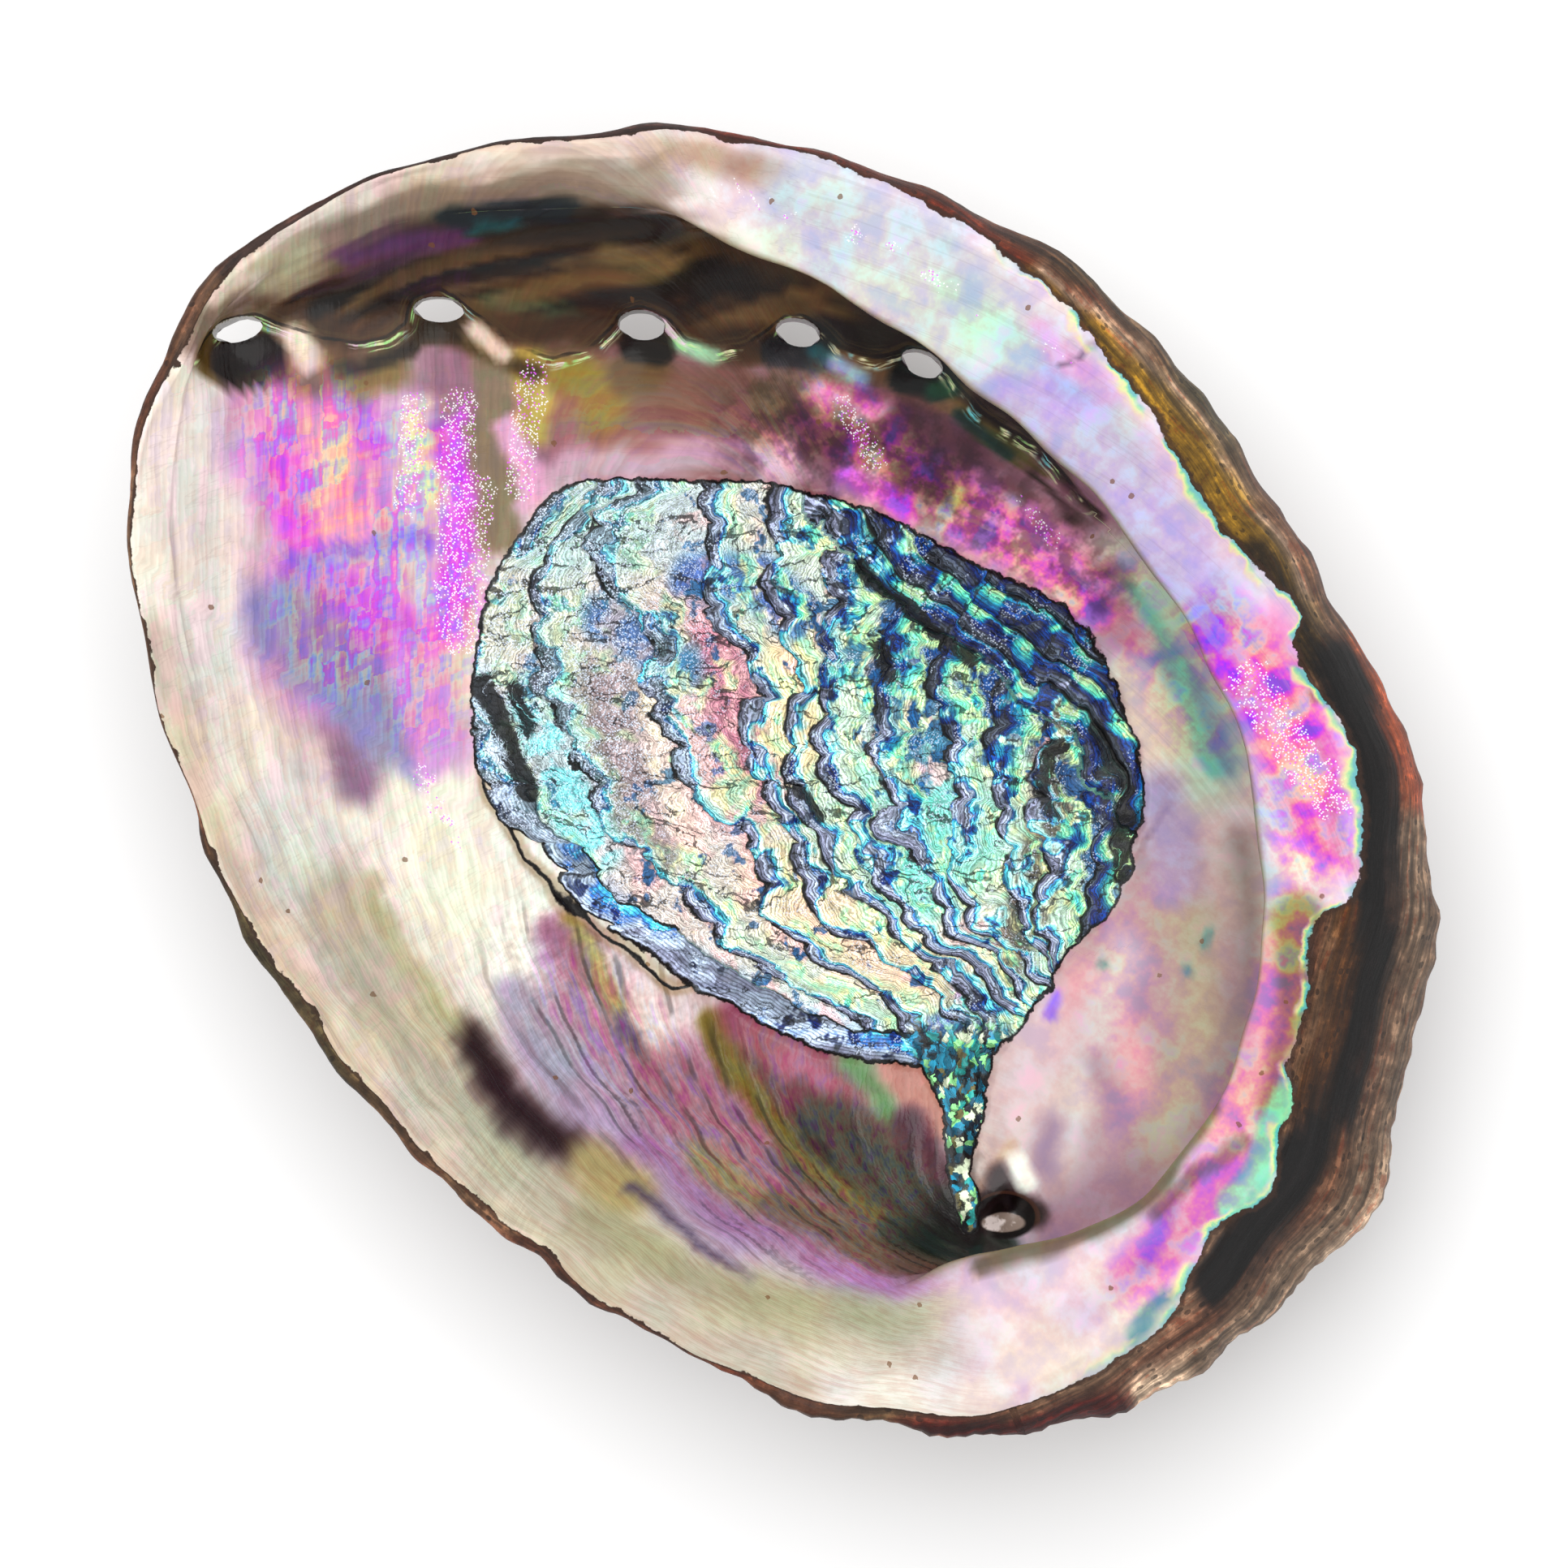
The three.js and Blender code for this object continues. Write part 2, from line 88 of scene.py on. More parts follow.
EDGE = [
    (5, 57.2, 36.2), (25, 53.6, 36.8), (45, 52.9, 37.4), (64, 54.5, 38), (79, 59.1, 38.6),
    (92, 65.3, 39.4), (98, 69.2, 40), (105, 76, 41), (113, 80.6, 41.5), (126, 88.2, 41.3),
    (140, 91.6, 39.8), (152, 87, 38.8), (165, 78.4, 38.5), (180, 70, 38.6), (200, 62.4, 37.8),
    (220, 59.4, 37.2), (240, 60.5, 36.4), (256, 63, 35), (270, 66, 33.5), (280, 65.5, 31.5),
    (288, 63.9, 29.5), (296, 65, 28.6), (303, 67.3, 30), (313, 68.2, 32), (330, 65.9, 34.2),
    (347, 61.3, 35.4),
]
RECESS = [
    (0, 70, 30), (20, 66, 31), (40, 64, 32), (60, 63.5, 32.6), (73, 65, 33), (88, 68.5, 33.6),
    (98, 70, 34), (108, 71, 33.5), (126, 81.5, 35.4), (140, 90.4, 38), (152, 84.5, 37),
    (165, 76.2, 36), (180, 67.2, 34.6), (200, 60, 33.5), (220, 56.5, 32.4), (240, 55.5, 30.4),
    (260, 56.5, 28.4), (275, 59, 26.5), (288, 64, 24), (296, 70, 23), (306, 76, 25),
    (320, 79.5, 27), (340, 75.5, 29),
]
FOOT = [
    (10, 60.5, 18.5), (30, 57.6, 19.5), (50, 55.6, 20.5), (72, 56, 21), (88, 57.5, 21),
    (107, 61.1, 22.5), (118, 68, 25), (126, 74.2, 27), (140, 88.8, 35.5), (152, 80.8, 34),
    (165, 71, 31.6), (180, 62, 29.6), (200, 55, 27.2), (225, 50.2, 25), (245, 49.2, 23),
    (260, 51, 21.4), (275, 54.8, 19.4), (288, 60, 17.4), (296, 63.6, 16.4), (305, 67, 16.4),
    (320, 70, 16.6), (345, 66, 17),
]
SCAR_EDGE = [
    (0, 46.1), (13, 45.1), (34, 42.3), (50, 38), (68, 37), (85, 38.1), (100, 39.9), (115, 43.6),
    (126, 47.3), (141, 46.4), (155, 43.6), (176, 39.7), (197, 34.8), (208, 31.8), (227, 28.6),
    (245, 28.8), (265, 31.5), (285, 37.5), (309, 43.9), (327, 43), (340, 45),
]
SHELF = [(0, 1), (60, 1), (92, 1), (103, 0.3), (115, 0), (200, 0), (270, 0), (284, 0.2), (292, 1)]

# x, y, length, width, turn and foot height of each breathing hole
HOLES = [
    (-68.2, 56.8, 6.2, 2.9, 17, 35.5), (-43.6, 60, 6.4, 3, 0, 27), (-18.1, 58.4, 6, 3.5, -4, 22.5),
    (1.8, 57.6, 5.8, 3.3, -12, 21), (17.6, 53.6, 5.6, 3, -22, 21),
]
FUNNEL_RADIUS = 5.2
FUNNEL_DEPTH = 1.6
HOLE_RIM = 1.5
PIT_AT = (29.4, -56.6)
PIT_RADIUS = 3.6
PIT_DEPTH = 4.5
SPIRE_AT = (34, -56)
SPIRE_RADIUS = 13
SPIRE_RISE = 4.5
COIL_GROWTH = 0.48
COIL_GROOVE = 1
LEDGE_RISE = 0.9
EDGE_RIPPLE = 0.45
GROWTH_WAVE = 0.7
GROWTH_WAVES = 9
RIB_RISE = 0.5
RIBS = 14
SHELF_LUMP = 0.5

# Ledges of the muscle scar, each as (mm down, mm right) in the seen square, from the growing edge's side
LEDGES = [
    [(60, 70), (65, 65), (70, 61), (75, 60), (85, 57), (95, 60.5), (104, 67), (109, 71),
     (115, 77.5), (121, 84), (125, 90), (128, 96), (131, 104)],
    [(60, 76), (65, 70), (70, 68), (80, 67.5), (85, 67), (90, 70), (98, 73.5), (103, 76.6),
     (107, 82), (112, 87), (117, 90), (121, 98), (125, 106), (131, 112)],
    [(60, 80), (63, 74.3), (68, 74), (72, 76.2), (79, 82.6), (83, 81.2), (87, 81.4), (92, 83.8),
     (98, 87), (104, 94), (109, 95), (113, 95), (118, 101), (125, 114)],
    [(60, 87), (66, 88.6), (75, 88.2), (80, 92.2), (85, 94), (94, 93.4), (100, 95), (105, 98.5),
     (110, 101.5), (115, 105), (120, 111), (126, 120)],
    [(61, 96.2), (64, 95.4), (67, 97), (71, 95.4), (77, 96.8), (83, 98.5), (90, 98), (95, 97.4),
     (100, 100), (105, 103), (110, 106), (115, 110), (120, 116), (126, 124)],
    [(60, 101), (65, 104.5), (68, 103.3), (74, 105.3), (78, 102.4), (84, 103.7), (90, 101.8),
     (94, 102), (99, 105.1), (105, 107.4), (110, 110), (115, 113.6), (120, 120), (126, 128)],
    [(60, 108), (65, 113), (70, 115.4), (75, 112.5), (78, 108.7), (84, 110.4), (88, 109.4),
     (93, 107.4), (100, 110), (105, 112), (110, 115), (115, 118), (120, 124), (126, 131)],
    [(60, 114), (65, 119), (70, 122), (75, 120), (80, 117), (85, 116.5), (91, 118.5), (97, 118.5),
     (105, 118), (110, 120), (115, 123), (120, 128), (126, 134)],
    [(60, 120), (65, 126), (70, 130), (75, 128), (80, 125), (90, 124), (100, 124), (110, 125),
     (115, 127), (126, 137)],
    [(60, 126), (70, 134), (80, 132), (85, 130.5), (90, 129.5), (100, 129), (110, 127.8),
     (120, 131), (126, 139)],
    [(60, 132), (70, 138), (80, 138), (90, 136.5), (100, 136), (110, 134), (120, 135), (126, 142)],
    [(60, 138), (70, 143), (80, 144), (100, 144), (110, 142), (126, 146)],
]
LOBE_SHORTEST = 3.4
LOBE_LONGEST = 7.8
LOBE_DEPTH = 0.62  # as a share of half the lobe
LOBE_SHIFT = 2.2
# The ledges in the upper right of the scar run along this line instead, about so far apart
SLANT = [(98, 60), (104, 67.5), (112, 75), (122, 82.5), (131, 89.5), (136, 97)]
SLANT_PITCH = 3.6
SLANT_START = 20

# Crusty strip from the scar to the spire's pit
TAIL = [(118.6, 126), (117.6, 131), (118.8, 137), (118.2, 145), (119.4, 151)]
TAIL_LEVELS = (127, 131, 135, 139, 146, 151)
TAIL_WIDTHS = (13, 9.5, 6.6, 4.8, 3.6, 2)

# Pearly fold at the right of that strip, seen from top to bottom
FOLD = [(139, 107), (133, 116), (128, 122), (124.6, 128), (121.8, 138), (121, 146)]

# Thin crack in the pearl below the scar, the white sliver beside it, and the dark blister where it widens
CRACK = [(62, 88), (59.3, 92), (60, 97), (62, 101), (65, 106), (70, 111.5), (74, 115), (83, 121.5), (89, 121)]
SLIVER = [(60.4, 94), (63, 99.5), (67, 105), (72.4, 110.5), (77.5, 115), (81.5, 119)]
BLISTER = (69.8, 111.6)

# The growth lines are smaller copies of the outline around the spire, at this place in the seen square
SPIRE_SEEN = (123.6, 150)
CORD_TWIST = 2  # how much the cords from the spire wind round it as they run out

# Groove that hangs from breathing hole to breathing hole
GROOVE = [
    (24, 44), (28, 40), (31.7, 38.8), (35.7, 40.4), (40.5, 41.7), (44.2, 42.3), (47.9, 41.5), (50, 39.9),
    (50.8, 37), (54, 35.7), (57.4, 37.8), (60.1, 39.9), (63.3, 42.5), (68, 44.1), (72.3, 43.1), (74.9, 40.9),
    (77, 38.4), (79, 38), (82.1, 39.4), (84.5, 42), (88.2, 43.1), (91.9, 42.5), (94.3, 40.9), (97, 39),
    (99, 39), (101.4, 40.9), (103.6, 43.1), (107.8, 44.1), (110.2, 43.6), (112, 43), (116.8, 46.8),
    (121, 51), (128.5, 55.3), (134, 62),
]
PIT_OVAL = (123.7, 151.3)  # the pale oval at the bottom of the spire's pit

# Shared small functions

def around(rows, column):
    """A smooth closed line through (direction, value, ...) rows, as a function of direction."""
    rows = sorted(rows)
    angle = np.array([row[0] for row in rows], float)
    value = np.array([row[column] for row in rows], float)
    angle3 = np.concatenate([angle - 360, angle, angle + 360])
    value3 = np.concatenate([value, value, value])
    slope = np.zeros_like(value3)
    slope[1:-1] = (value3[2:] - value3[:-2]) / (angle3[2:] - angle3[:-2])

    def at(direction):
        direction = np.mod(direction, 360)
        i = np.searchsorted(angle3, direction, side="right") - 1
        span = angle3[i + 1] - angle3[i]
        t = (direction - angle3[i]) / span
        rise = value3[i + 1] - value3[i]
        start = slope[i] * span
        end = slope[i + 1] * span
        bend, twist = 3 * rise - 2 * start - end, start + end - 2 * rise
        return value3[i] + t * start + t * t * bend + t ** 3 * twist
    return at


def mix(a, b, t):
    return a + (b - a) * t


def smooth(start, end, t):
    """0 at the start and 1 at the end, with a soft way between."""
    s = np.clip((t - start) / (end - start), 0, 1)
    return s * s * (3 - 2 * s)


def bell(distance, radius):
    """1 in the middle, falling off to about a third at the radius."""
    return np.exp(-(distance / radius) ** 2)


def lattice(ix, iy, seed):
    """Repeatable random numbers from 0 to 1 at whole-number places."""
    h = (ix.astype(np.int64) * 374761393 + iy.astype(np.int64) * 668265263 + seed * 982451653) & 0xFFFFFFFF
    h = ((h ^ (h >> 13)) * 1274126177) & 0xFFFFFFFF
    return ((h ^ (h >> 16)) & 0xFFFFFF) / float(0xFFFFFF)


def noise(x, y, size, seed):
    """Smooth noise from -1 to 1 with lumps of about that size."""
    u, v = x / size, y / size
    iu, iv = np.floor(u), np.floor(v)
    fu, fv = u - iu, v - iv
    fu, fv = fu * fu * (3 - 2 * fu), fv * fv * (3 - 2 * fv)
    low = mix(lattice(iu, iv, seed), lattice(iu + 1, iv, seed), fu)
    high = mix(lattice(iu, iv + 1, seed), lattice(iu + 1, iv + 1, seed), fu)
    return 2 * mix(low, high, fv) - 1


def rough(x, y, size, seed, octaves=3):
    """Noise with finer and finer lumps on it."""
    total = np.zeros_like(x)
    for k in range(octaves):
        total += noise(x, y, size / 2 ** k, seed + 17 * k) / 2 ** k
    return total / 1.6


def to_line(x, y, points):
    """Distance to a line through the points, and 1 on the right-hand side of the way along it or else -1."""
    best, sign = np.full(x.shape, 1e9), np.ones(x.shape)
    for (ax, ay), (bx, by) in zip(points[:-1], points[1:]):
        length2 = (bx - ax) ** 2 + (by - ay) ** 2
        t = np.clip(((x - ax) * (bx - ax) + (y - ay) * (by - ay)) / length2, 0, 1)
        far = np.hypot(x - ax - t * (bx - ax), y - ay - t * (by - ay))
        side = np.sign((bx - ax) * (y - ay) - (by - ay) * (x - ax))
        sign = np.where(far < best, side, sign)
        best = np.minimum(best, far)
    return best, sign


def away(x, y, points):
    """Distance from each place to a line through the points, or to the only point."""
    if len(points) == 1:
        return np.hypot(x - points[0][0], y - points[0][1])
    return to_line(x, y, points)[0]


def beside(x, y, points):
    """Distance to a line through the points, above 0 on the right-hand side of the way along it."""
    best, sign = to_line(x, y, points)
    return best * sign


# Plain skin

directions = 360 * np.arange(DIRECTIONS) / DIRECTIONS
turn = np.radians(directions)
outline_r, outline_z = around(OUTLINE, 1)(directions), around(OUTLINE, 2)(directions)
ripple = 0.5 * np.sin(19 * turn) + 0.6 * np.sin(29 * turn + 1.3) + 0.5 * np.sin(11 * turn + 2.1)
outline_r += EDGE_RIPPLE * ripple
crest_r, crest_z = outline_r - around(CREST, 1)(directions), around(CREST, 2)(directions)
edge_r, edge_z = around(EDGE, 1)(directions), around(EDGE, 2)(directions)
recess_r, recess_z = around(RECESS, 1)(directions), around(RECESS, 2)(directions)
foot_r, foot_z = around(FOOT, 1)(directions), around(FOOT, 2)(directions)
scar_line = around(SCAR_EDGE, 1)
scar_r = scar_line(directions)
shelf = np.clip(around(SHELF, 1)(directions), 0, 1)


def floor_height(direction, radius):
    """Height of the bowl's floor, which is lowest over the flat spot."""
    a = np.radians(direction)
    out = np.hypot(radius * np.cos(a) - REST_AT[0], radius * np.sin(a) - REST_AT[1])
    return FLOOR_THICKNESS + BOWL_CURVE * out * out


scar_z = floor_height(directions, scar_r)
signed = np.where(directions > 180, directions - 360, directions)
thick = mix(1, SPIRE_THICKNESS, shelf * smooth(30, -30, signed))
back_r, back_z = foot_r + thick * WALL_OUT, foot_z - thick * WALL_DOWN
profile = [
    (scar_r * 0.6, floor_height(directions, scar_r * 0.6) - FLOOR_THICKNESS),
    (scar_r, scar_z - FLOOR_THICKNESS),
    (mix(back_r, scar_r, 0.5) + 0.8, mix(back_z, scar_z - FLOOR_THICKNESS, 0.5) - FLOOR_DIP),
    (back_r, back_z),
    (mix(back_r, outline_r, 0.62) + BACK_BULGE * shelf, mix(back_z, outline_z, 0.54 - 0.04 * shelf)),
    (outline_r, outline_z),
    (crest_r, crest_z),
    (mix(crest_r, edge_r, 0.5), mix(crest_z, edge_z, 0.44)),
    (edge_r, edge_z),
    (mix(mix(edge_r, recess_r, 0.4), edge_r + 0.9, shelf),
     mix(mix(edge_z, recess_z, 0.4), edge_z - LIP_THICKNESS, shelf)),
    (recess_r, recess_z),
    (foot_r, foot_z),
    (mix(foot_r, scar_r, 0.5), mix(foot_z, scar_z, 0.5) - FLOOR_DIP),
    (scar_r, scar_z),
    (scar_r * 0.5, floor_height(directions, scar_r * 0.5)),
    (0 * scar_r, floor_height(directions, 0 * scar_r)),
]
knots = np.array([np.stack(p) for p in profile])
knots = np.concatenate([2 * knots[:1] - knots[1:2], knots, 2 * knots[-1:] - knots[-2:-1]])


def span_rows(k, steps):
    """Rows between two profile points, on the smooth curve that the CAD uses too."""
    p0, p1, p2, p3 = knots[k], knots[k + 1], knots[k + 2], knots[k + 3]
    gap = [np.sqrt(np.hypot(*(b - a))) for a, b in ((p0, p1), (p1, p2), (p2, p3))]
    gap[1] = np.where(gap[1] < 1e-4, 1, gap[1])
    gap[0] = np.where(gap[0] < 1e-4, gap[1], gap[0])
    gap[2] = np.where(gap[2] < 1e-4, gap[1], gap[2])
    start = ((p1 - p0) / gap[0] - (p2 - p0) / (gap[0] + gap[1]) + (p2 - p1) / gap[1]) * gap[1]
    end = ((p2 - p1) / gap[1] - (p3 - p1) / (gap[1] + gap[2]) + (p3 - p2) / gap[2]) * gap[1]
    rows = []
    for t in np.arange(steps) / steps:
        bend, twist = -3 * p1 + 3 * p2 - 2 * start - end, 2 * p1 - 2 * p2 + start + end
        rows.append(p1 + start * t + bend * t * t + twist * t ** 3)
    return rows


rows = []
for k, steps in enumerate(STEPS):
    rows += span_rows(k, steps)
rows = np.array(rows)
CREST_ROW, EDGE_ROW, LIP_ROW = sum(STEPS[:6]), sum(STEPS[:8]), sum(STEPS[:9])
X = rows[:, 0] * np.cos(turn)
Y = rows[:, 0] * np.sin(turn)
Z = rows[:, 1]
row_number = np.repeat(np.arange(len(rows))[:, None], DIRECTIONS, axis=1).astype(float)


def seen(x, y, z):
    """Place in the seen square, in mm right and down from its top left corner."""
    scale = CAMERA_ABOVE_RIM / (CAMERA_ABOVE_RIM + RIM_LEVEL - z)
    return HALF_SEEN + x * scale, HALF_SEEN - y * scale


SX, SY = seen(X, Y, Z)

# Natural coordinates over the shell


def heading(x, y, place):
    """Direction from a place in the seen square, in radians, turning left from the right of the view."""
    return np.arctan2(place[1] - y, x - place[0])


outline_x, outline_y = seen(outline_r * np.cos(turn), outline_r * np.sin(turn), outline_z)
outline_phi = heading(outline_x, outline_y, SPIRE_SEEN)
outline_far = away(outline_x, outline_y, [SPIRE_SEEN])
# At the upper left the growth lines run straight down the view
LEFTMOST = 107.1
upper_left = smooth(math.radians(100), math.radians(122), outline_phi) * (outline_phi < math.radians(143))
outline_far = mix(outline_far, LEFTMOST / np.maximum(np.abs(np.cos(outline_phi)), 0.3), upper_left)


def growth_at(x, y):
    """Share of the way from the spire out to the outline, from 0 to 100."""
    reach = np.interp(heading(x, y, SPIRE_SEEN), outline_phi, outline_far, period=2 * math.pi)
    return 100 * away(x, y, [SPIRE_SEEN]) / reach


grow = growth_at(SX, SY)
spire_far = away(SX, SY, [SPIRE_SEEN])
spire_phi = heading(SX, SY, SPIRE_SEEN)
CORD_CUT = math.radians(-60)  # where the cords' count starts again
CORDS_PER_RADIAN = 60
SPIRE_CORE = 3
cut_gap = np.abs(np.mod(spire_phi - CORD_CUT + math.pi, 2 * math.pi) - math.pi)
calm = smooth(0.03, 0.28, cut_gap - 2 / np.maximum(spire_far, SPIRE_CORE))
spire_phi = np.where(spire_phi < CORD_CUT, spire_phi + 2 * math.pi, spire_phi)
cord = CORDS_PER_RADIAN * (spire_phi - CORD_TWIST * np.log(np.maximum(spire_far, SPIRE_CORE)))
step_length = np.hypot(np.diff(rows[:, 0], axis=0), np.diff(rows[:, 1], axis=0))
arc = np.concatenate([np.zeros((1, DIRECTIONS)), np.cumsum(step_length, axis=0)])
rimward = np.abs(arc - arc[CREST_ROW])
radius = np.hypot(X, Y)
direction_here = np.degrees(np.arctan2(Y, X))
MEAN_RADIUS = 80
AROUND_START = -70  # direction where the way around the shell is counted from
around_mm = np.radians(np.mod(direction_here - AROUND_START, 360)) * MEAN_RADIUS
inside = row_number > LIP_ROW

# Muscle scar: a ledge number that rises across it, the distance between ledges, and each lobe's own tone
down = SY + 0.9 * rough(SX, SY, 8, 11) + 0.3 * noise(SX, SY, 2.2, 12)
scaly = smooth(98, 108, SX) * smooth(86, 96, SY)
wave_x = SX + rough(SX, SY, 8, 21) + 0.3 * noise(SX, SY, 1.8, 23) + 2.6 * scaly * rough(SX, SY, 6, 25)

# How far the ledges reach down the view, and where the slanting ones begin, in mm of the seen square
SCAR_TOP = 56
SCAR_BOTTOM = 140
BROADEST = 7  # ledge, and block of the slanting ledges
SLANT_FROM = 99
SLANT_AHEAD = 200  # keeps the way along the slanting ledges apart from the others


def lobed(line, seed):
    """Where a ledge stands, with uneven round lobes along it, and a random number for each lobe."""
    borders = [SCAR_TOP]
    while borders[-1] < SCAR_BOTTOM:
        share = float(lattice(np.array(len(borders)), np.array(seed), 7))
        borders.append(borders[-1] + mix(LOBE_SHORTEST, LOBE_LONGEST, share ** 1.5))
    borders = np.array(borders)
    lobe = np.clip(np.searchsorted(borders, down) - 1, 0, len(borders) - 2)
    half = (borders[lobe + 1] - borders[lobe]) / 2
    t = np.clip((down - borders[lobe]) / half - 1, -1, 1)
    bulge = LOBE_DEPTH * half * np.sqrt(1.02 - t * t)
    places = np.interp(down, [p[0] for p in line], [p[1] for p in line])
    own_tone = lattice(lobe, np.full(lobe.shape, seed), 9)
    return places - bulge + LOBE_SHIFT * (own_tone - 0.5), own_tone


lobed_lines = [lobed(line, 40 + number) for number, line in enumerate(LEDGES)]
ledge = np.zeros_like(SX)
pitch = np.full_like(SX, BROADEST)
tone = np.full_like(SX, 0.5)
for (left, left_tone), (right, _) in zip(lobed_lines[:-1], lobed_lines[1:]):
    gap = np.maximum(right - left, 1.2)
    ledge += np.clip((wave_x - left) / gap, 0, 1)
    past_left = wave_x >= left
    pitch = np.where(past_left, gap, pitch)
    tone = np.where(past_left, left_tone, tone)
slant = -beside(wave_x, down, SLANT) + 1.6 * rough(SX, SY, 7, 27)
slant_run = 0.8 * SX + 0.6 * SY
slant_block = np.floor((slant_run + 2 * rough(SX, SY, 5, 29)) / BROADEST)
slant += 1.6 * lattice(slant_block, np.floor(slant / BROADEST), 15)
on_slant = (slant > 0) & (SX > SLANT_FROM)
slant_number = np.floor(slant / SLANT_PITCH)
ledge = np.where(on_slant, SLANT_START + slant / SLANT_PITCH, ledge)
pitch = np.where(on_slant, SLANT_PITCH, pitch)
tone = np.where(on_slant, lattice(slant_number, np.floor((SX + SY) / 9), 13), tone)
ledge_mm = (ledge - np.floor(ledge)) * pitch
run = np.where(on_slant, slant_run + SLANT_AHEAD, down)  # way along the ledges

ragged = mix(0.6, 1.8, smooth(125, 134, SX))
scar_in = scar_line(direction_here) - radius + ragged * rough(SX, SY, 5, 41) + 0.2 * noise(SX, SY, 1.3, 43)
scar_in = np.minimum(scar_in, wave_x - lobed_lines[0][0] + 0.4)
tail_half = np.interp(SY, TAIL_LEVELS, TAIL_WIDTHS) / 2
tail_in = tail_half - away(SX, SY, TAIL) + 0.7 * rough(SX, SY, 4, 47)
tail = smooth(-0.6, 0.4, tail_in) * smooth(124, 129, SY)
FAR_OFF = 20
scar_in = np.where(inside, np.maximum(scar_in, tail_in), -FAR_OFF)

# Relief, in mm along the skin's normal
rise_in = np.zeros_like(X)
for hx, hy, *_ in HOLES:
    rise_in -= FUNNEL_DEPTH * bell(np.hypot(X - hx - 0.6, Y - hy + 3), 4.2)
pit_drop = PIT_DEPTH * bell(away(X, Y, [PIT_AT]), PIT_RADIUS)
pit_drop *= smooth(0, 4, row_number - LIP_ROW)
in_scar = smooth(-0.4, 0.6, scar_in)
step_up = smooth(0, 0.7, ledge_mm) * (1 - 0.9 * smooth(1, np.maximum(pitch, 2.5), ledge_mm))
lumps = 0.16 * rough(SX, SY, 2.2, 53) + 0.3 * rough(SX, SY, 6, 55) * tail
rise_in += in_scar * (0.2 + LEDGE_RISE * step_up + lumps)
rise_in -= 0.5 * bell(away(SX, SY, CRACK), 0.6) * inside
rise_in += 0.6 * bell(away(SX, SY, [BLISTER]), 1.6)
fold_side = -beside(SX, SY, FOLD)
fold_rise = smooth(-0.8, 3.2, fold_side) * (1 - smooth(3, 17, fold_side))
rise_in += 0.9 * fold_rise * (1 - in_scar)
cloudy = np.maximum(smooth(112, 130, SX), shelf * smooth(-1, 1, LIP_ROW - row_number))
cloudy = np.maximum(cloudy, smooth(0, 3, fold_side) * inside)
cloudy = np.maximum(cloudy, smooth(90, 106, SX) * smooth(76, 66, SY))
satin = np.sin(2 * np.pi * (rimward + 1.5 * rough(SX, SY, 20, 65)) / 7.5)
rise_in += (0.13 * rough(SX, SY, 11, 61) + 0.16 * satin * smooth(34, 10, rimward)) * (1 - in_scar)
furrow = np.sin(2 * np.pi * (grow + 1.2 * rough(SX, SY, 16, 63)) / 3.4)
rise_in += 0.06 * furrow * (1 - in_scar) * smooth(60, 90, spire_far) * (1 - cloudy)
FAN_PITCH = 4.6
FAN = [(70, 118), (82, 134), (98, 146), (114, 150)]
fan = (1 - smooth(5, 15, away(SX, SY, FAN))) * (1 - in_scar) * inside
fan_place = grow + 2 * noise(grow, 0 * grow, 3.4, 62) + 1.4 * rough(SX, SY, 13, 64)
rise_in += 0.16 * fan * np.sin(2 * np.pi * fan_place / FAN_PITCH)

from_spire = away(X, Y, [SPIRE_AT])
spire_turn = np.arctan2(Y - SPIRE_AT[1], X - SPIRE_AT[0])
log_far = np.log(np.maximum(from_spire, 1))
coil = log_far / COIL_GROWTH - spire_turn
reach = smooth(SPIRE_RADIUS, 2 * SPIRE_RADIUS, from_spire)
rise_out = SPIRE_RISE * bell(from_spire, SPIRE_RADIUS)
rise_out -= COIL_GROOVE * (1 - reach) * (0.5 + 0.5 * np.cos(coil)) * smooth(2, 6, from_spire)
rise_out += reach * GROWTH_WAVE * np.sin(GROWTH_WAVES * log_far + 2 * spire_turn)
rise_out += reach * RIB_RISE * np.sin(RIBS * spire_turn)
rise_out += reach * 0.16 * np.sin(86 * spire_turn + 2 * noise(X, Y, 20, 71))
rise_out += 0.24 * np.abs(np.sin(np.pi * (rimward + 1.6 * rough(X, Y, 14, 73)) / 2.6))
rise_out += 0.34 * rough(X, Y, 4, 79, 4)
for hole in HOLES:
    rise_out += HOLE_RIM * bell(away(X, Y, [hole]), FUNNEL_RADIUS)

# Ragged border between the pearl and the crust: (direction, mm out) around the middle of the seen square
NACRE_EDGE = [
    (0, 70.6), (5, 69.5), (9, 67.5), (12, 65.6), (16, 64.8), (18.5, 67.4), (23, 64.4), (32, 62.4), (41, 63.6),
    (51, 65.6), (59, 68.1), (66, 70.4), (73, 72.6), (80, 74.6), (91, 78.4), (280, 78.8),
    (290, 83), (298, 81.8), (304, 81.8), (309, 79), (314, 76.2), (320, 78.2), (324.5, 74.8), (329, 73.4),
    (330.5, 71.4), (338, 69.8), (345, 67.8), (349.5, 71.7), (353, 72),
]
seen_r = away(SX, SY, [SEEN_MIDDLE])
seen_direction = np.degrees(heading(SX, SY, SEEN_MIDDLE))
rim_r = away(outline_x, outline_y, [SEEN_MIDDLE])
rim_direction = np.degrees(heading(outline_x, outline_y, SEEN_MIDDLE))
rim_here = np.interp(seen_direction, rim_direction, rim_r, period=360)
LEFT_EDGE = 0.8  # on the left side the pearl runs out to the rim but for this much
left_side = smooth(82, 94, seen_direction % 360) * smooth(294, 282, seen_direction % 360)
pearl_r = mix(around(NACRE_EDGE, 1)(seen_direction), rim_here - LEFT_EDGE, left_side)
crust = seen_r - pearl_r + 0.8 * rough(SX, SY, 3.2, 179)
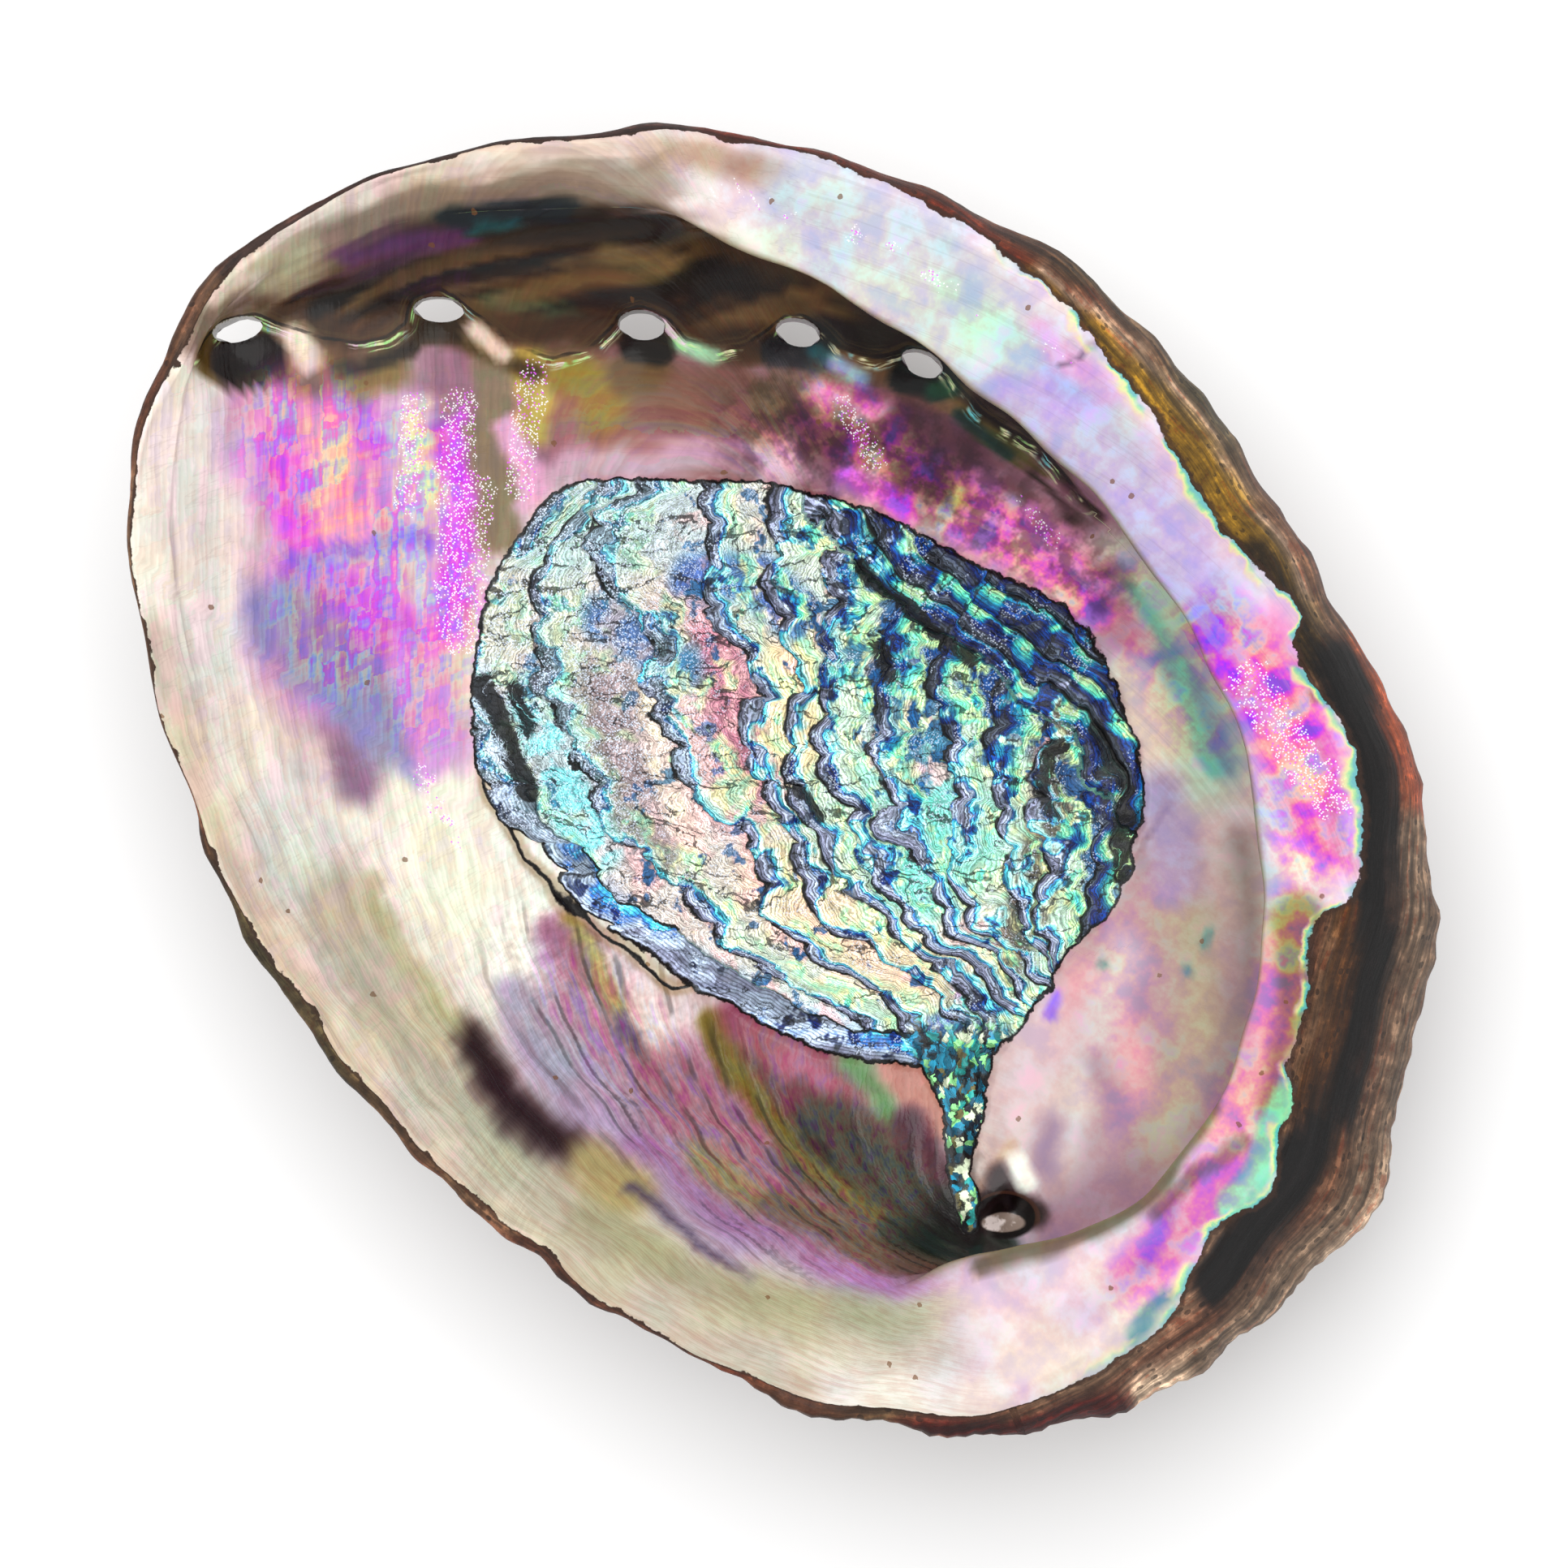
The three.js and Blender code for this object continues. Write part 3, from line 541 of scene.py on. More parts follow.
crust = np.where(row_number < CREST_ROW - 1, np.maximum(crust, 0.8), crust)
crust = np.where(row_number < CREST_ROW - 4, 6, crust)
crust = np.where(row_number > CREST_ROW + 16, -FAR_OFF, crust)
NACRE_STEP = 0.7
step_down = -NACRE_STEP * smooth(-0.2, 0.7, crust) * smooth(-75, -55, signed) * smooth(75, 55, signed)

rise_shelf = SHELF_LUMP * np.sin(0.31 * X + 0.5 * np.sin(0.2 * Y)) * np.sin(0.27 * Y)
rise_shelf += 0.18 * rough(SX, SY, 6, 83) + step_down
rise_out += step_down
rise = np.where(
    row_number <= CREST_ROW,
    rise_out * smooth(0, 12, row_number) * smooth(0, 8, CREST_ROW - row_number),
    np.where(row_number < LIP_ROW, rise_shelf * smooth(0, 6, row_number - CREST_ROW),
             rise_in * smooth(0, 4, row_number - LIP_ROW)),
)
points = np.stack([X, Y, Z], axis=-1)
along_ring = np.roll(points, -1, axis=1) - np.roll(points, 1, axis=1)
along_profile = np.gradient(points, axis=0)
normal = np.cross(along_ring, along_profile)
normal /= np.maximum(np.linalg.norm(normal, axis=-1, keepdims=True), 1e-9)
normal[-2:] = (0, 0, 1)
points = points + normal * rise[..., None]
points[..., 2] -= pit_drop

# Colours: each stroke is (half width, softness, colour, points in the seen square), laid in this order
LEFT_STROKES = [
    (9, 6, (66, 50, 56), [(60, 50), (84, 52), (110, 57), (128, 68), (140, 84)]),
    (7.5, 4, (93, 91, 87), [
        (24, 46), (21, 60), (22.5, 76), (25, 90), (30, 103), (37, 117), (46, 131), (57, 144), (70, 155),
        (84, 163), (98, 168), (112, 170), (126, 168), (137, 163),
    ]),
    (2, 3, (84, 79, 72), [(19.5, 78), (24, 97), (33, 115), (45, 134), (60, 150), (78, 163), (98, 171)]),
    (8, 5, (96, 96, 90), [(48, 98), (54, 104), (60, 113), (66, 120)]),
    (4, 4, (82, 79, 70), [(42, 112), (50, 126), (62, 142), (76, 154), (92, 161), (108, 163), (122, 162)]),
    (5, 4, (76, 68, 78), [(68, 126), (80, 142), (92, 150), (106, 154), (120, 156)]),
    (3, 2.4, (72, 52, 68), [(70, 116), (77, 128), (87, 139), (99, 148), (112, 153)]),
    (3.6, 2.5, (93, 86, 89), [(76, 120), (83, 130)]),
    (1.6, 2, (72, 70, 76), [(64, 122), (70, 132)]),
    (1, 2.4, (66, 46, 56), [(68, 114), (72, 120)]),
    (0.8, 1.2, (46, 28, 40), [(71.5, 115), (74, 121), (77, 127), (80, 133), (84, 138)]),
    (0.7, 2, (80, 79, 64), [(46, 109), (49, 116), (54, 124), (58, 129)]),
    (0.6, 1.6, (74, 70, 44), [(70, 113), (73, 118), (76, 124)]),
    (2.6, 3, (64, 52, 62), [(42, 88), (44, 96)]),
    (1.5, 2.6, (24, 16, 16), [(58.2, 128.4), (61, 132)]),
    (1.6, 2.7, (24, 14, 16), [(61, 134), (65, 137.6), (70, 140.6)]),
    (2.6, 2.6, (76, 70, 50), [(73, 143), (77, 147)]),
    (0.2, 1.3, (40, 34, 46), [(77, 146.6), (84, 151.6), (93, 158.4)]),
    (5, 4, (66, 44, 58), [(84, 134), (94, 144), (104, 150), (114, 153)]),
    (1.4, 2, (62, 56, 40), [(86, 143), (94, 149), (102, 153)]),
    (4.4, 2.8, (42, 20, 30), [(95, 130), (102, 138), (109, 146)]),
    (2.4, 2, (66, 34, 46), [(91, 126), (98, 130), (103, 134)]),
    (1.2, 2.2, (74, 42, 60), [(97, 130.5), (101, 134)]),
    (1.2, 1.4, (44, 12, 30), [(97.6, 134), (101, 138)]),
    (0.9, 2.4, (40, 62, 36), [(105, 131), (108.5, 134), (110, 139)]),
    (4.4, 3.4, (13, 9, 5), [(101, 140.6), (108, 145), (117, 150.6)]),
    (0.8, 1.8, (50, 44, 5), [(88, 126), (91, 133), (98, 142), (107, 149), (114, 152)]),
    (2.6, 1.4, (82, 60, 54), [(111, 131), (115, 137)]),
    (2.2, 1.6, (38, 16, 26), [(112, 139), (115, 144)]),
    (2.2, 2, (8, 13, 8), [(110, 144), (115, 149), (119, 152)]),
    # Olive band on the slope near the bottom rim: painted shade
    (1.3, 2.8, (74, 72, 60), [(72, 150), (84, 157), (96, 161), (110, 162.5), (122, 160)]),
    (2, 1.8, (46, 34, 28), [(96, 149), (104, 153), (112, 155), (119, 154.6)]),
    (0.5, 1.4, (76, 54, 76), [(100, 155.6), (110, 158.8), (119, 158.4), (126, 155)]),
    (0.7, 2.8, (70, 52, 72), [(78, 141), (88, 149), (102, 155.4)]),
]
RIGHT_STROKES = [
    (11, 5, (78, 68, 70), [(137, 110), (141, 122), (141, 134), (136, 143)]),
    (3, 3, (70, 58, 64), [(150, 124), (146, 138), (138, 147), (130, 151)]),
    (3, 3, (90, 82, 83), [(130, 126), (127, 138)]),
    (2.6, 3, (92, 72, 76), [(134, 122), (140, 133)]),
    # Painted highlight: a soft pale line over the two bright spots of the convex pearl
    (1.4, 3, (90, 87, 86), [(138.5, 117), (131, 141)]),
    (2.2, 4, (76, 72, 62), [(146, 114), (148, 128), (143, 140)]),
    # Painted shadow along the shelf's overhanging edge
    (1, 3, (66, 60, 60), [(152.6, 104), (154, 120), (151, 134)]),
    (0.8, 2.6, (74, 62, 70), [(135, 131), (138, 138)]),
    (0.3, 0.9, (36, 62, 62), [(136, 119)]),
    (0.5, 0.9, (36, 62, 66), [(145.8, 119.2)]),
    (0.3, 0.9, (40, 66, 66), [(148.2, 115.8), (148.8, 114.8)]),
    (0.5, 0.8, (64, 46, 98), [(130.6, 122.6), (129.6, 125.6)]),
    (5, 3, (80, 86, 77), [(138, 72), (144, 82), (149, 94)]),
    (1.8, 2.4, (93, 90, 84), [(134, 71), (139, 80), (142, 90), (144, 101)]),
    (1.1, 2, (50, 64, 72), [(143.6, 80), (148, 87), (151, 95)]),
    (0.5, 1.2, (50, 80, 72), [(139.6, 73), (144.6, 81), (147, 88), (150, 96)]),
    (2.2, 2.6, (74, 68, 80), [(143, 98), (145, 108)]),
]
UPPER_STROKES = [
    (6, 4, (66, 48, 44), [(74, 52), (90, 53), (104, 56), (118, 62)]),
    (4, 2.6, (58, 42, 36), [(78, 49), (90, 50)]),
    (3.6, 2.6, (40, 25, 32), [(112, 53), (118, 58), (122, 62)]),
    (3, 2, (46, 36, 26), [(96, 49), (101, 52)]),
    (2.6, 2.4, (66, 57, 22), [(70, 46.5), (74, 50)]),
    (1.6, 1.8, (50, 38, 22), [(76, 47), (80, 46.4)]),
    (1.8, 2, (90, 60, 88), [(102, 48), (107, 50)]),
    (1.6, 1.6, (80, 70, 75), [
        (61, 66), (66, 60), (72, 57), (84, 56.2), (98, 57.6), (112, 62), (126, 70), (136, 80),
    ]),
    (1.2, 1.2, (88, 50, 90), [(104, 59), (112, 62)]),
    (1.3, 1.6, (55, 50, 90), [(124, 63), (131, 69)]),
    (1.4, 2.4, (82, 58, 70), [(119, 61), (127, 65), (134, 71), (139, 78)]),
    (0.8, 1, (68, 66, 36), [(117, 60), (121, 66)]),
    (9.5, 5, (88, 68, 84), [(38, 54), (44, 64), (42, 78)]),
    (2, 2, (90, 42, 94), [(35, 56), (36, 66)]),
    (2.4, 2, (93, 50, 90), [(46, 74), (52, 80)]),
    (3.6, 2.6, (84, 80, 88), [(50, 52), (52, 60), (53, 72)]),
    (2.2, 1.4, (97, 80, 76), [(41, 53), (41, 66)]),
    (1.4, 1.3, (97, 76, 82), [(38, 76), (46, 75)]),
    (1.3, 1.2, (90, 92, 78), [(51, 50), (51.5, 60)]),
    (1.6, 1.3, (86, 32, 96), [(56, 53), (56.5, 60), (56, 68), (55.5, 77)]),
    (2.8, 2, (82, 44, 92), [(37, 72), (44, 74), (48, 79)]),
    (1.1, 1.1, (82, 40, 95), [(44, 49), (45.5, 54)]),
    (1, 1.2, (60, 50, 94), [(36, 69), (44, 67), (52, 66)]),
    (4, 3, (62, 63, 80), [(35, 76), (42, 83), (50, 91)]),
    (3.4, 2.4, (86, 66, 88), [(51, 83), (54, 91)]),
    (2.2, 1.4, (60, 55, 44), [(60.5, 44), (60.5, 66)]),
    (1.8, 1.3, (80, 73, 38), [(65, 44), (66, 53)]),
    (1.4, 1.2, (92, 72, 84), [(63, 53), (65, 62)]),
    (2.2, 2.2, (60, 50, 30), [(28, 43), (40, 46), (48, 45)]),
]
WALL_STROKES = [
    (4.8, 2, (60, 54, 47), [(26, 40), (33, 34), (42, 28), (53, 24), (66, 21.5), (78, 22)]),
    (1.6, 1.2, (86, 81, 76), [(26, 36), (37, 27), (50, 21), (64, 18.6), (80, 18)]),
    (1.6, 1.4, (72, 70, 60), [(33, 34), (38, 31)]),
    (5, 2, (34, 23, 12), [(42, 38), (52, 37), (66, 37), (80, 37), (96, 40), (108, 43)]),
    (2.6, 2, (34, 23, 12), [(34, 39.6), (44, 36)]),
    # The darkest bands beneath the shelf's edge are the wall's own dark colour deepened by painted shade
    (3.6, 1.8, (15, 9, 3), [(47, 34), (56, 30.6), (68, 29), (80, 30), (94, 34), (106, 39), (116, 45)]),
    (2, 1.6, (12, 9, 6), [(108, 41), (118, 47.6), (124, 53)]),
    (0.9, 1.6, (14, 10, 7), [(122, 50), (129, 57), (134, 63)]),
    (0.5, 0.9, (40, 37, 20), [(112, 47.4), (120, 52.6), (127, 58.4)]),
    (1.2, 1.4, (12, 8, 5), [(38, 38), (46, 35), (52, 33)]),
    (1.5, 1.8, (46, 41, 26), [(75, 31.6), (84, 33.4)]),
    (0.9, 1.6, (36, 26, 10), [(84, 29), (96, 33), (104, 37)]),
    (1.2, 1.6, (40, 22, 42), [(43, 32.4), (49, 30.6), (56, 29.2)]),
    (1.1, 1.2, (4, 13, 17), [(56, 26.8), (62, 25.6), (70, 26.4)]),
    (0.6, 0.9, (6, 36, 38), [(58, 28.2), (63, 27.4)]),
    (0.8, 1.4, (30, 36, 26), [(60, 37), (70, 38)]),
]
# The near-black strokes just below each hole are painted shade in its funnel; the pale ones are the pearl's
# colour between the holes
FUNNEL_STROKES = [
    (0.7, 1, (20, 14, 7), [(42, 45.6), (47, 44.4), (51, 43)]),
    (0.8, 1.2, (36, 28, 12), [(58, 42.4), (66, 46)]),
    (2.6, 1.2, (40, 32, 12), [(27, 44), (30, 42.6)]),
    (3.1, 0.7, (13, 7, 5), [(29.6, 44.8), (32.4, 44.6)]),
    (1.5, 0.8, (26, 19, 8), [(52.6, 41), (56.4, 41)]),
    (2.1, 0.7, (14, 10, 6), [(78.4, 43), (81, 43.4)]),
    (1.9, 0.7, (6, 9, 10), [(95.8, 43.6), (100.6, 44.4)]),
    (1.9, 0.7, (4, 9, 8), [(111.4, 47), (115, 48)]),
    (0.8, 0.8, (5, 36, 26), [(114.6, 49), (117, 48.4)]),
    (0.9, 0.9, (6, 36, 38), [(100.6, 44), (102.6, 45)]),
    (1.4, 1.2, (95, 93, 84), [(36.6, 41.6), (38, 44.4)]),
    (0.9, 1, (93, 86, 78), [(58.6, 41), (62, 43.6)]),
    (0.8, 1, (70, 88, 72), [(84, 42.6), (88, 44)]),
    (0.9, 1, (64, 82, 88), [(103, 45), (106, 46.6)]),
    (0.5, 0.8, (10, 26, 24), [(118, 51.4), (124, 56)]),
]
SHELF_STROKES = [
    (7, 4, (92, 92, 91), [(76, 20), (84, 24), (94, 27), (104, 32)]),
    (1.5, 2, (72, 64, 52), [(80, 18.6), (90, 19.4), (100, 23)]),
    (6, 4, (82, 91, 89), [(100, 26), (112, 33), (122, 41), (132, 51)]),
    (5, 3.5, (76, 77, 92), [(128, 48), (138, 61), (146, 74), (151, 85)]),
    (1.5, 1.4, (90, 78, 90), [(128, 41), (136, 48)]),
    (0.15, 0.5, (52, 48, 56), [(130.4, 45), (133, 43.8), (135, 41.6)]),
    (2, 2, (75, 91, 86), [(118, 36), (126, 44)]),
    (2.2, 1.8, (66, 64, 95), [(149, 76), (153, 84)]),
    (4, 3, (90, 62, 86), [(156, 80), (160, 92), (163, 104)]),
    (1.4, 1.3, (80, 46, 97), [(151, 82), (155, 88)]),
    (1.4, 1.3, (84, 44, 93), [(163, 91), (164, 100)]),
    (1.8, 2, (97, 78, 80), [(157, 92), (161, 97)]),
    (1.6, 1.8, (80, 87, 93), [(151, 92), (155, 102), (156.5, 112)]),
    (1.8, 1.2, (94, 94, 95), [(158, 105), (161, 107.5), (165, 110)]),
    (3, 1.8, (58, 58, 28), [(160, 114), (161, 120), (159.5, 126)]),
    (2.6, 1.8, (62, 50, 42), [(156.5, 128), (156, 136)]),
    (0.9, 1.1, (36, 34, 12), [(161.6, 80.6), (162.6, 85)]),
    (2, 1.8, (92, 75, 79), [(155, 117), (154, 130), (150, 142), (143, 152)]),
    (3.4, 3, (92, 89, 88), [(146, 147), (134, 155), (124, 159), (128, 166)]),
    (3.2, 2.2, (88, 64, 85), [(151, 144), (146, 151), (141, 157)]),
    (0.6, 1.6, (66, 48, 90), [(144, 149), (141, 156)]),
    (0.7, 0.8, (54, 42, 44), [(153, 141), (147, 145), (142, 149)]),
    (1.6, 0.8, (52, 90, 76), [(159, 134), (156.6, 139), (155, 144), (151.5, 149)]),
    # Dark line along the lip's edge at the lower right: painted shade of the lip
    (1, 1, (50, 48, 34), [(121, 156), (128, 154.4), (136, 150.6), (143, 145), (149, 137)]),
    (0.9, 0.9, (40, 70, 72), [(144, 160), (139.5, 165)]),
]
CRUST_STROKES = [
    (2, 2, (28, 19, 17), [(30, 33), (50, 20), (66, 17), (88, 16)]),
    (2, 2, (44, 20, 12), [(88, 16), (104, 20), (118, 28), (132, 38), (139, 46)]),
    (2.6, 1.6, (56, 44, 14), [(126, 36), (136, 43.6), (146, 54), (154, 65), (160, 76)]),
    (0.4, 1, (64, 55, 48), [(128, 33), (138, 41), (149, 53), (158, 66), (164, 78)]),
    (1.6, 1.4, (26, 20, 10), [(155, 68), (160, 76), (163, 82)]),
    (2.8, 1.2, (8, 5, 5), [
        (165, 82), (168.5, 92), (169.5, 104), (169, 118), (165, 134), (159, 147), (150, 158),
    ]),
    (1.2, 1.4, (34, 22, 10), [(166.4, 112), (165, 124), (161, 136)]),
    (1.1, 0.9, (66, 36, 22), [(168, 78), (171, 85), (174, 95), (175.6, 106)]),
    (2.8, 1.6, (80, 71, 62), [(172, 144), (166, 153), (158, 162), (149, 168.6), (142, 172)]),
    (1.8, 1.6, (52, 44, 37), [(174.5, 102), (175, 116), (173, 132), (168, 146), (160, 156), (148, 168)]),
    (1.4, 1, (32, 10, 8), [(108, 176.5), (124, 177), (138, 173)]),
]
SCAR_STROKES = [
    (2.4, 2, (72, 78, 86), [(58, 84), (60, 92), (66, 104), (76, 114), (88, 124), (100, 129)]),
    (5, 3, (72, 80, 80), [(68, 66), (76, 64), (86, 64)]),
    (5, 3, (84, 70, 72), [(84, 78), (88, 88), (92, 98)]),
    (2.4, 2.4, (70, 48, 56), [(88, 80), (91, 90), (92, 95)]),
    (2.8, 2, (96, 93, 82), [(78, 88), (80, 96), (83, 103)]),
    (3, 2, (92, 84, 70), [(97, 82), (98, 92)]),
    (3.2, 2, (60, 57, 58), [(74, 84), (76, 96), (80, 105)]),
    (2.6, 2, (52, 88, 90), [(66, 86), (69, 96), (73, 104)]),
    (3, 2.4, (6, 24, 58), [(112, 78), (120, 83), (130, 90)]),
    (3, 2.4, (10, 30, 40), [(116, 70), (128, 78), (136, 86)]),
    (2.4, 2, (14, 42, 68), [(86, 71), (93, 71), (98, 76)]),
    (2, 2, (20, 46, 66), [(74, 76), (80, 80), (84, 82)]),
    (3, 2, (16, 22, 36), [(136, 86), (139, 96), (138, 106)]),
    (2.4, 1.4, (33, 30, 32), [(130, 88), (129.4, 100), (127, 112), (122, 122)]),
    (4, 4, (48, 84, 80), [(112, 94), (118, 103), (113, 109)]),
    (2, 2, (10, 44, 60), [(106, 80), (110, 88), (112, 96)]),
    (4, 4, (88, 80, 70), [(96, 108), (106, 116), (114, 119)]),
    (3, 3, (84, 72, 74), [(120, 116)]),
    (2.2, 1.6, (72, 83, 88), [(84, 119), (96, 125), (106, 128)]),
    (1.6, 1, (64, 54, 70), [(119, 122)]),
    (1.2, 1.2, (30, 44, 80), [(114, 127), (118, 126)]),
]
SCAR_DARK = [
    (0.6, [(58.8, 84), (60.3, 87), (62.4, 91), (64.6, 97.4)]), (0.2, [(63.2, 85), (65, 89.6)]),
    (0.2, [(106, 70), (114, 77), (120, 81)]), (0.2, [(108, 80), (110, 84)]), (0.2, [(98, 97), (101, 101)]),
    (0.4, [(135, 90), (138.6, 98), (138.6, 108)]), (0.1, [(130, 92), (129, 100)]),
]
PALETTE = [
    (98, 72, 80), (90, 46, 92), (62, 50, 95), (42, 62, 92),
    (50, 88, 88), (66, 94, 66), (96, 95, 62), (99, 82, 70),
]


def tinted(colour, shade, cover):
    """The colour, covered that much by a shade in percent."""
    return mix(colour, np.array(shade) / 100, cover[..., None])


def cover_of(half, soft, line, x, y):
    """1 on a stroke of that half width and softness, 0 off it."""
    return 1 - smooth(half - soft / 2, half + soft, away(x, y, line))


def paint(colour, strokes, x, y):
    """The colour with all the strokes on it."""
    for half, soft, shade, line in strokes:
        colour = tinted(colour, shade, cover_of(half, soft, line, x, y))
    return colour


def rainbow(t):
    """Colour of the pearl's sheen at a position on the closed palette."""
    table = np.array(PALETTE + PALETTE[:1]) / 100
    position = np.mod(t, 1) * len(PALETTE)
    i = np.floor(position).astype(int) % len(PALETTE)
    return mix(table[i], table[i + 1], (position - np.floor(position))[..., None])


def plain(*shade):
    """The same shade everywhere."""
    return np.ones(X.shape + (3,)) * (np.array(shade) / 100)


def shifted(by, size, seed_x, seed_y, kind=rough):
    """The places in the seen square, moved a little by noise."""
    return SX + by * kind(SX, SY, size, seed_x), SY + by * kind(SX, SY, size, seed_y)


# Strokes are shifted a little along the growth lines and along the cords, so their ends fray into bands
STEP = 0.5
slope_x = growth_at(SX + STEP, SY) - growth_at(SX - STEP, SY)
slope_y = growth_at(SX, SY + STEP) - growth_at(SX, SY - STEP)
slope = np.maximum(np.hypot(slope_x, slope_y), 1e-6)
near_spire = mix(0.3, 1, smooth(50, 90, spire_far)) * mix(1, 0.4, cloudy)
along_growth = 1.2 * noise(grow, 0.05 * cord, 3.2, 101)
along_growth += 0.6 * smooth(110, 90, SY) * noise(grow, 0.1 * cord, 1.3, 102)
across_growth = 0.8 * noise(cord, 0.1 * grow, 2.6, 103) + 0.4 * noise(cord, 0.2 * grow, 1.2, 104)
wx, wy = shifted(1.2, 8, 105, 107)
wx += near_spire * (along_growth * slope_y + across_growth * slope_x) / slope
wy += near_spire * (across_growth * slope_y - along_growth * slope_x) / slope
inner = paint(plain(87, 81, 80), LEFT_STROKES + RIGHT_STROKES + UPPER_STROKES, wx, wy)
streak_x = SX + 2.2 * noise(rimward, 0.1 * around_mm, 1.3, 109) + 0.5 * noise(SX, SY, 2.5, 110)
streak_y = SY + 0.8 * noise(rimward, 0.1 * around_mm, 1.3, 115) + 0.3 * noise(SX, SY, 2, 116)
inner = paint(inner, WALL_STROKES, streak_x, streak_y)
on_wall = 1 - smooth(2, 7, away(SX, SY, [(46, 37), (60, 34), (80, 34), (100, 39), (118, 48)]))
streak = 2.2 * rough(rimward, 0.13 * around_mm, 3.2, 117)
inner = tinted(inner, (62, 50, 32), on_wall * np.clip(streak, 0, 0.6))
inner = tinted(inner, (7, 4, 2), on_wall * np.clip(-streak, 0, 0.7))
inner = paint(inner, FUNNEL_STROKES, mix(SX, wx, 0.2), mix(SY, wy, 0.2))
crumpled = bell(away(SX, SY, [(96, 53), (112, 57), (122, 63), (132, 71)]), 7) * inside
crumple = 1.8 * rough(SX + 2 * noise(SX, SY, 3, 118), SY, 6, 119)
inner = tinted(inner, (34, 16, 24), crumpled * np.clip(crumple, 0, 0.75))
inner = tinted(inner, (92, 72, 82), crumpled * np.clip(-crumple - 0.1, 0, 0.7))
bright = inner.mean(axis=-1, keepdims=True)
cloud = rainbow(0.5 * rough(SX, SY, 9, 149) + 0.1)
inner = mix(inner, cloud * (0.1 + bright), 0.06)

on_shelf = paint(plain(90, 87, 89), SHELF_STROKES, *shifted(1, 7, 111, 113))
on_shelf = mix(on_shelf, rainbow(0.05 + 0.4 * rough(SX, SY, 6, 151)), 0.14)
is_shelf = smooth(-1, 1, LIP_ROW - row_number) * shelf
nacre = mix(inner, on_shelf, is_shelf[..., None])
# Painted shade on the shelf's rounded lip, where its edge turns under
lip_shade = bell(row_number - EDGE_ROW, 1.1) * shelf
nacre = tinted(nacre, (60, 54, 42), 0.9 * lip_shade)

# Sliver, pit and the shadow colours beside the fold, with painted shade in the pit and a painted highlight on
# the fold
sliver = away(SX, SY, SLIVER) - 1.5
nacre = tinted(nacre, (97, 96, 94), smooth(0.4, -0.4, sliver) * inside)
PIT_STROKES = [
    (0.8, 2.6, (70, 60, 70), [(129.6, 139), (128.4, 144)]),
    (0.6, 0.8, (86, 76, 68), [(124.6, 141.4), (121.4, 146)]),
    # Painted shadow: the dark wedge below the fold's highlight and the dark arch over the pit
    (1.8, 1.4, (24, 14, 17), [(123.5, 145.6), (123.6, 149)]),
    (1.3, 1.2, (16, 9, 9), [(120.6, 149.6), (123.6, 148), (127.6, 150)]),
    # Painted highlight on the fold's shoulder
    (1.2, 1, (100, 100, 98), [(125.4, 143.4), (126.4, 146)]),
    (1.4, 1.4, (6, 15, 10), [(110, 151.6), (117, 153.6), (124, 154.6)]),
    (0.9, 0.9, (4, 5, 4), [(112.6, 147.6), (118, 150.6), (119.6, 152.4)]),
]
nacre = np.where(inside[..., None], paint(nacre, PIT_STROKES, SX, SY), nacre)

crust_base = plain(42, 27, 20)
bands = 0.5 + 0.5 * np.sin(rimward * 0.75 + 1.5 * rough(X, Y, 16, 157) + 0.8 * spire_turn)
crust_base = tinted(crust_base, (56, 46, 36), 0.7 * bands ** 2)
crust_base = tinted(crust_base, (30, 33, 22), np.clip(0.9 * rough(X, Y, 22, 163), 0, 0.6))
crust_base = tinted(crust_base, (72, 68, 64), 0.7 * bell(from_spire, 15))
from_above = np.maximum(smooth(-0.15, 0.25, normal[..., 2]), smooth(CREST_ROW - 6, CREST_ROW - 3, row_number))
crust_seen = paint(crust_base, CRUST_STROKES, *shifted(0.5, 3, 167, 173, noise))
crust_colour = mix(crust_base, crust_seen, from_above[..., None])

face_base = tinted(plain(80, 79, 76), (74, 83, 77), smooth(84, 104, SX))
face = paint(face_base, SCAR_STROKES, *shifted(0.8, 6, 121, 123))
scar_dark = np.zeros_like(X)
for half, line in SCAR_DARK:
    scar_dark = np.maximum(scar_dark, 1 - smooth(half, half + 2, away(wave_x, down, line)))
blue_side = np.maximum(smooth(92, 122, SX) * smooth(104, 78, SY), smooth(129, 135, SX))
grey_side = smooth(94, 76, SX) * smooth(112, 96, SY)
# How strongly the pearl shows vivid colours, and where it is full of bright speckles: painted glints that
# stand for light sparkling on its fine grain
VIVID = [
    (7, 5, 1, [(38, 54), (44, 64), (42, 78)]), (3, 5, 0.9, [(52, 54), (55, 74), (52, 88)]),
    (3, 5, 0.3, [(72, 50), (90, 54), (104, 56)]), (3, 4, 0.9, [(103, 50), (112, 60), (124, 66), (134, 74)]),
    (4, 5, 0.6, [(72, 122), (88, 141), (106, 151)]), (4, 4, 0.5, [(95, 130), (110, 146)]),
    (3, 4, 0.5, [(138, 72), (148, 90)]), (5, 6, 0.25, [(138, 112), (142, 136)]),
    (4, 4, 1, [(150, 78), (159, 90), (162, 104)]), (3, 3, 0.7, [(160, 112), (158, 126)]),
    (3, 3, 0.6, [(155, 132), (150, 146), (140, 158)]), (5, 4, 0.1, [(100, 28), (126, 44), (142, 66)]),
]
